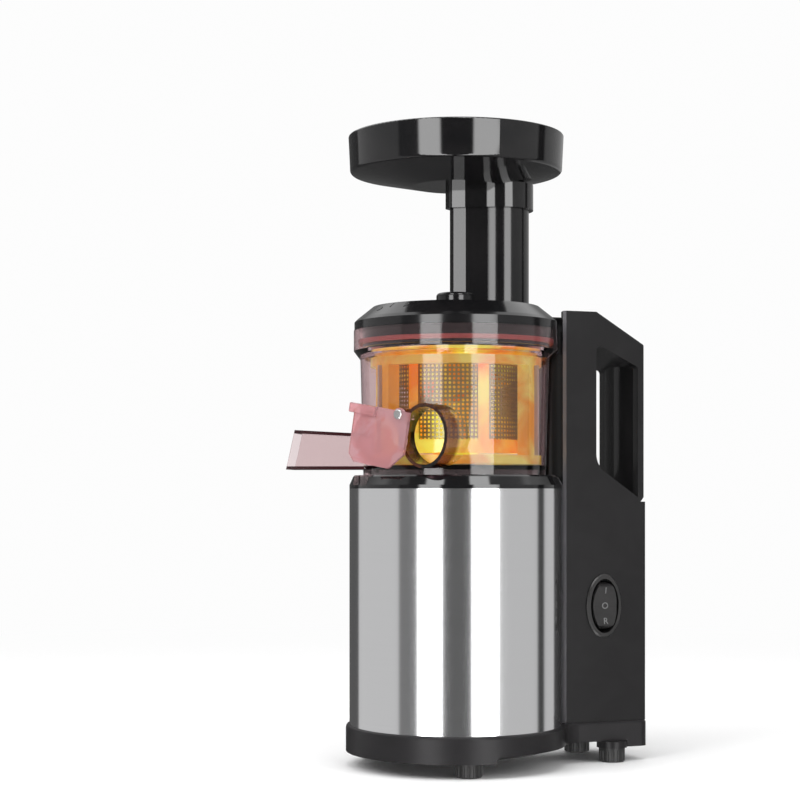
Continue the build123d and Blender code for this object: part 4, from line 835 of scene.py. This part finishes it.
# surroundings: a plain level that lights, the strips for gloss, and a pale backdrop behind the object
world = bpy.data.worlds.new("studio")
bpy.context.scene.world = world
world.use_nodes = True
tree = world.node_tree
tree.nodes.clear()
direction = addNode(tree, "ShaderNodeTexCoord", -1500, 0).outputs["Generated"]
parts = addNode(tree, "ShaderNodeSeparateXYZ", -1300, 0)
feed(tree, parts.inputs[0], direction)
flipped = mathNode(tree, "MULTIPLY", -1100, -100, parts.outputs["Y"], -1.0)
angle = mathNode(tree, "ARCTAN2", -900, 0, parts.outputs["X"], flipped)
fraction = rampNode(tree, -700, 0, angle, -pi, pi, "LINEAR")
bands = addNode(tree, "ShaderNodeValToRGB", -500, 0)
feed(tree, bands.inputs["Fac"], fraction)
stops = bands.color_ramp.elements
while len(stops) > 1:
    stops.remove(stops[-1])
stops[0].color = grey(strips["seamLevel"])
before = strips["levels"][0][1]
for at, level in strips["levels"][1:]:
    for shift, value in ((-strips["blur"], before), (strips["blur"], level)):
        stops.new((at + shift + 180) / 360).color = grey(value)
    before = level

beltLow = rampNode(tree, -900, -300, parts.outputs["Z"], *strips["beltLow"])
beltHigh = rampNode(tree, -900, -600, parts.outputs["Z"], *strips["beltHigh"])
belt = mathNode(tree, "SUBTRACT", -650, -300, beltLow, beltHigh)
facing = addNode(tree, "ShaderNodeVectorMath", -1100, -900, operation="DOT_PRODUCT")
feed(tree, facing.inputs[0], direction)
feed(tree, facing.inputs[1], (-sin(bearing), cos(bearing), 0))
farSide = rampNode(tree, -900, -900, facing.outputs["Value"], -strips["sheetEdge"], strips["sheetEdge"])
sheetRise = rampNode(tree, -900, -1200, parts.outputs["Z"], *strips["sheetRise"])
overhead = mathNode(tree, "MULTIPLY", -650, -900, sheetRise, farSide)
belted = mixColours(tree, -350, -100, belt, bands.outputs["Color"], grey(strips["belt"]))
roofed = mixColours(tree, -200, -100, overhead, belted, grey(strips["sheet"]))

rays = addNode(tree, "ShaderNodeLightPath", -300, 500).outputs
shown = mathNode(tree, "MAXIMUM", -100, 400, rays["Is Camera Ray"], rays["Is Transmission Ray"])
levels = []
for y, colour in ((0, (*studio["surround"], 1)), (-200, roofed), (200, (*studio["backdrop"], 1))):
    level = addNode(tree, "ShaderNodeBackground", 0, y)
    feed(tree, level.inputs["Color"], colour)
    levels.append(level.outputs[0])
plain, gloss, backdrop = levels

mirrored = chooseShader(tree, 250, -50, rays["Is Glossy Ray"], plain, gloss)
result = addNode(tree, "ShaderNodeOutputWorld", 650, 100)
feed(tree, result.inputs["Surface"], chooseShader(tree, 450, 100, shown, mirrored, backdrop))

# floor: a pale disc that takes the shadow and runs into the backdrop further out
floorMesh = bpy.data.meshes.new("floor")
floorSides = studio["floorSides"]
rim = [(*onCircle(studio["floorRadius"], i, floorSides), 0) for i in range(floorSides)]
floorMesh.from_pydata(rim, [], [list(range(floorSides))])
floor = newObject("floor", floorMesh)
floorFinish, tree, shader = newFinish("paleFloor")
feedAll(tree, shader, {"Base Color": (*studio["floor"], 1), "Roughness": studio["floorRoughness"]})
length = addNode(tree, "ShaderNodeVectorMath", -500, 300, operation="LENGTH")
feed(tree, length.inputs[0], objectSpot(tree, -700, 300))
fade = rampNode(tree, -300, 300, length.outputs["Value"], *studio["floorFade"])
rays = addNode(tree, "ShaderNodeLightPath", -500, 600).outputs
seen = mathNode(tree, "MULTIPLY", -100, 400, fade, rays["Is Camera Ray"])
glow = addNode(tree, "ShaderNodeEmission", 500, 300)
feed(tree, glow.inputs["Color"], (*studio["backdrop"], 1))
choice = chooseShader(tree, 800, 100, seen, shader.outputs[0], glow.outputs[0])
feed(tree, tree.nodes["Material Output"].inputs["Surface"], choice)
floorMesh.materials.append(floorFinish)
floor.visible_glossy = False

bpy.context.scene.view_settings.view_transform = "Standard"
print("stage: camera, light and floor")
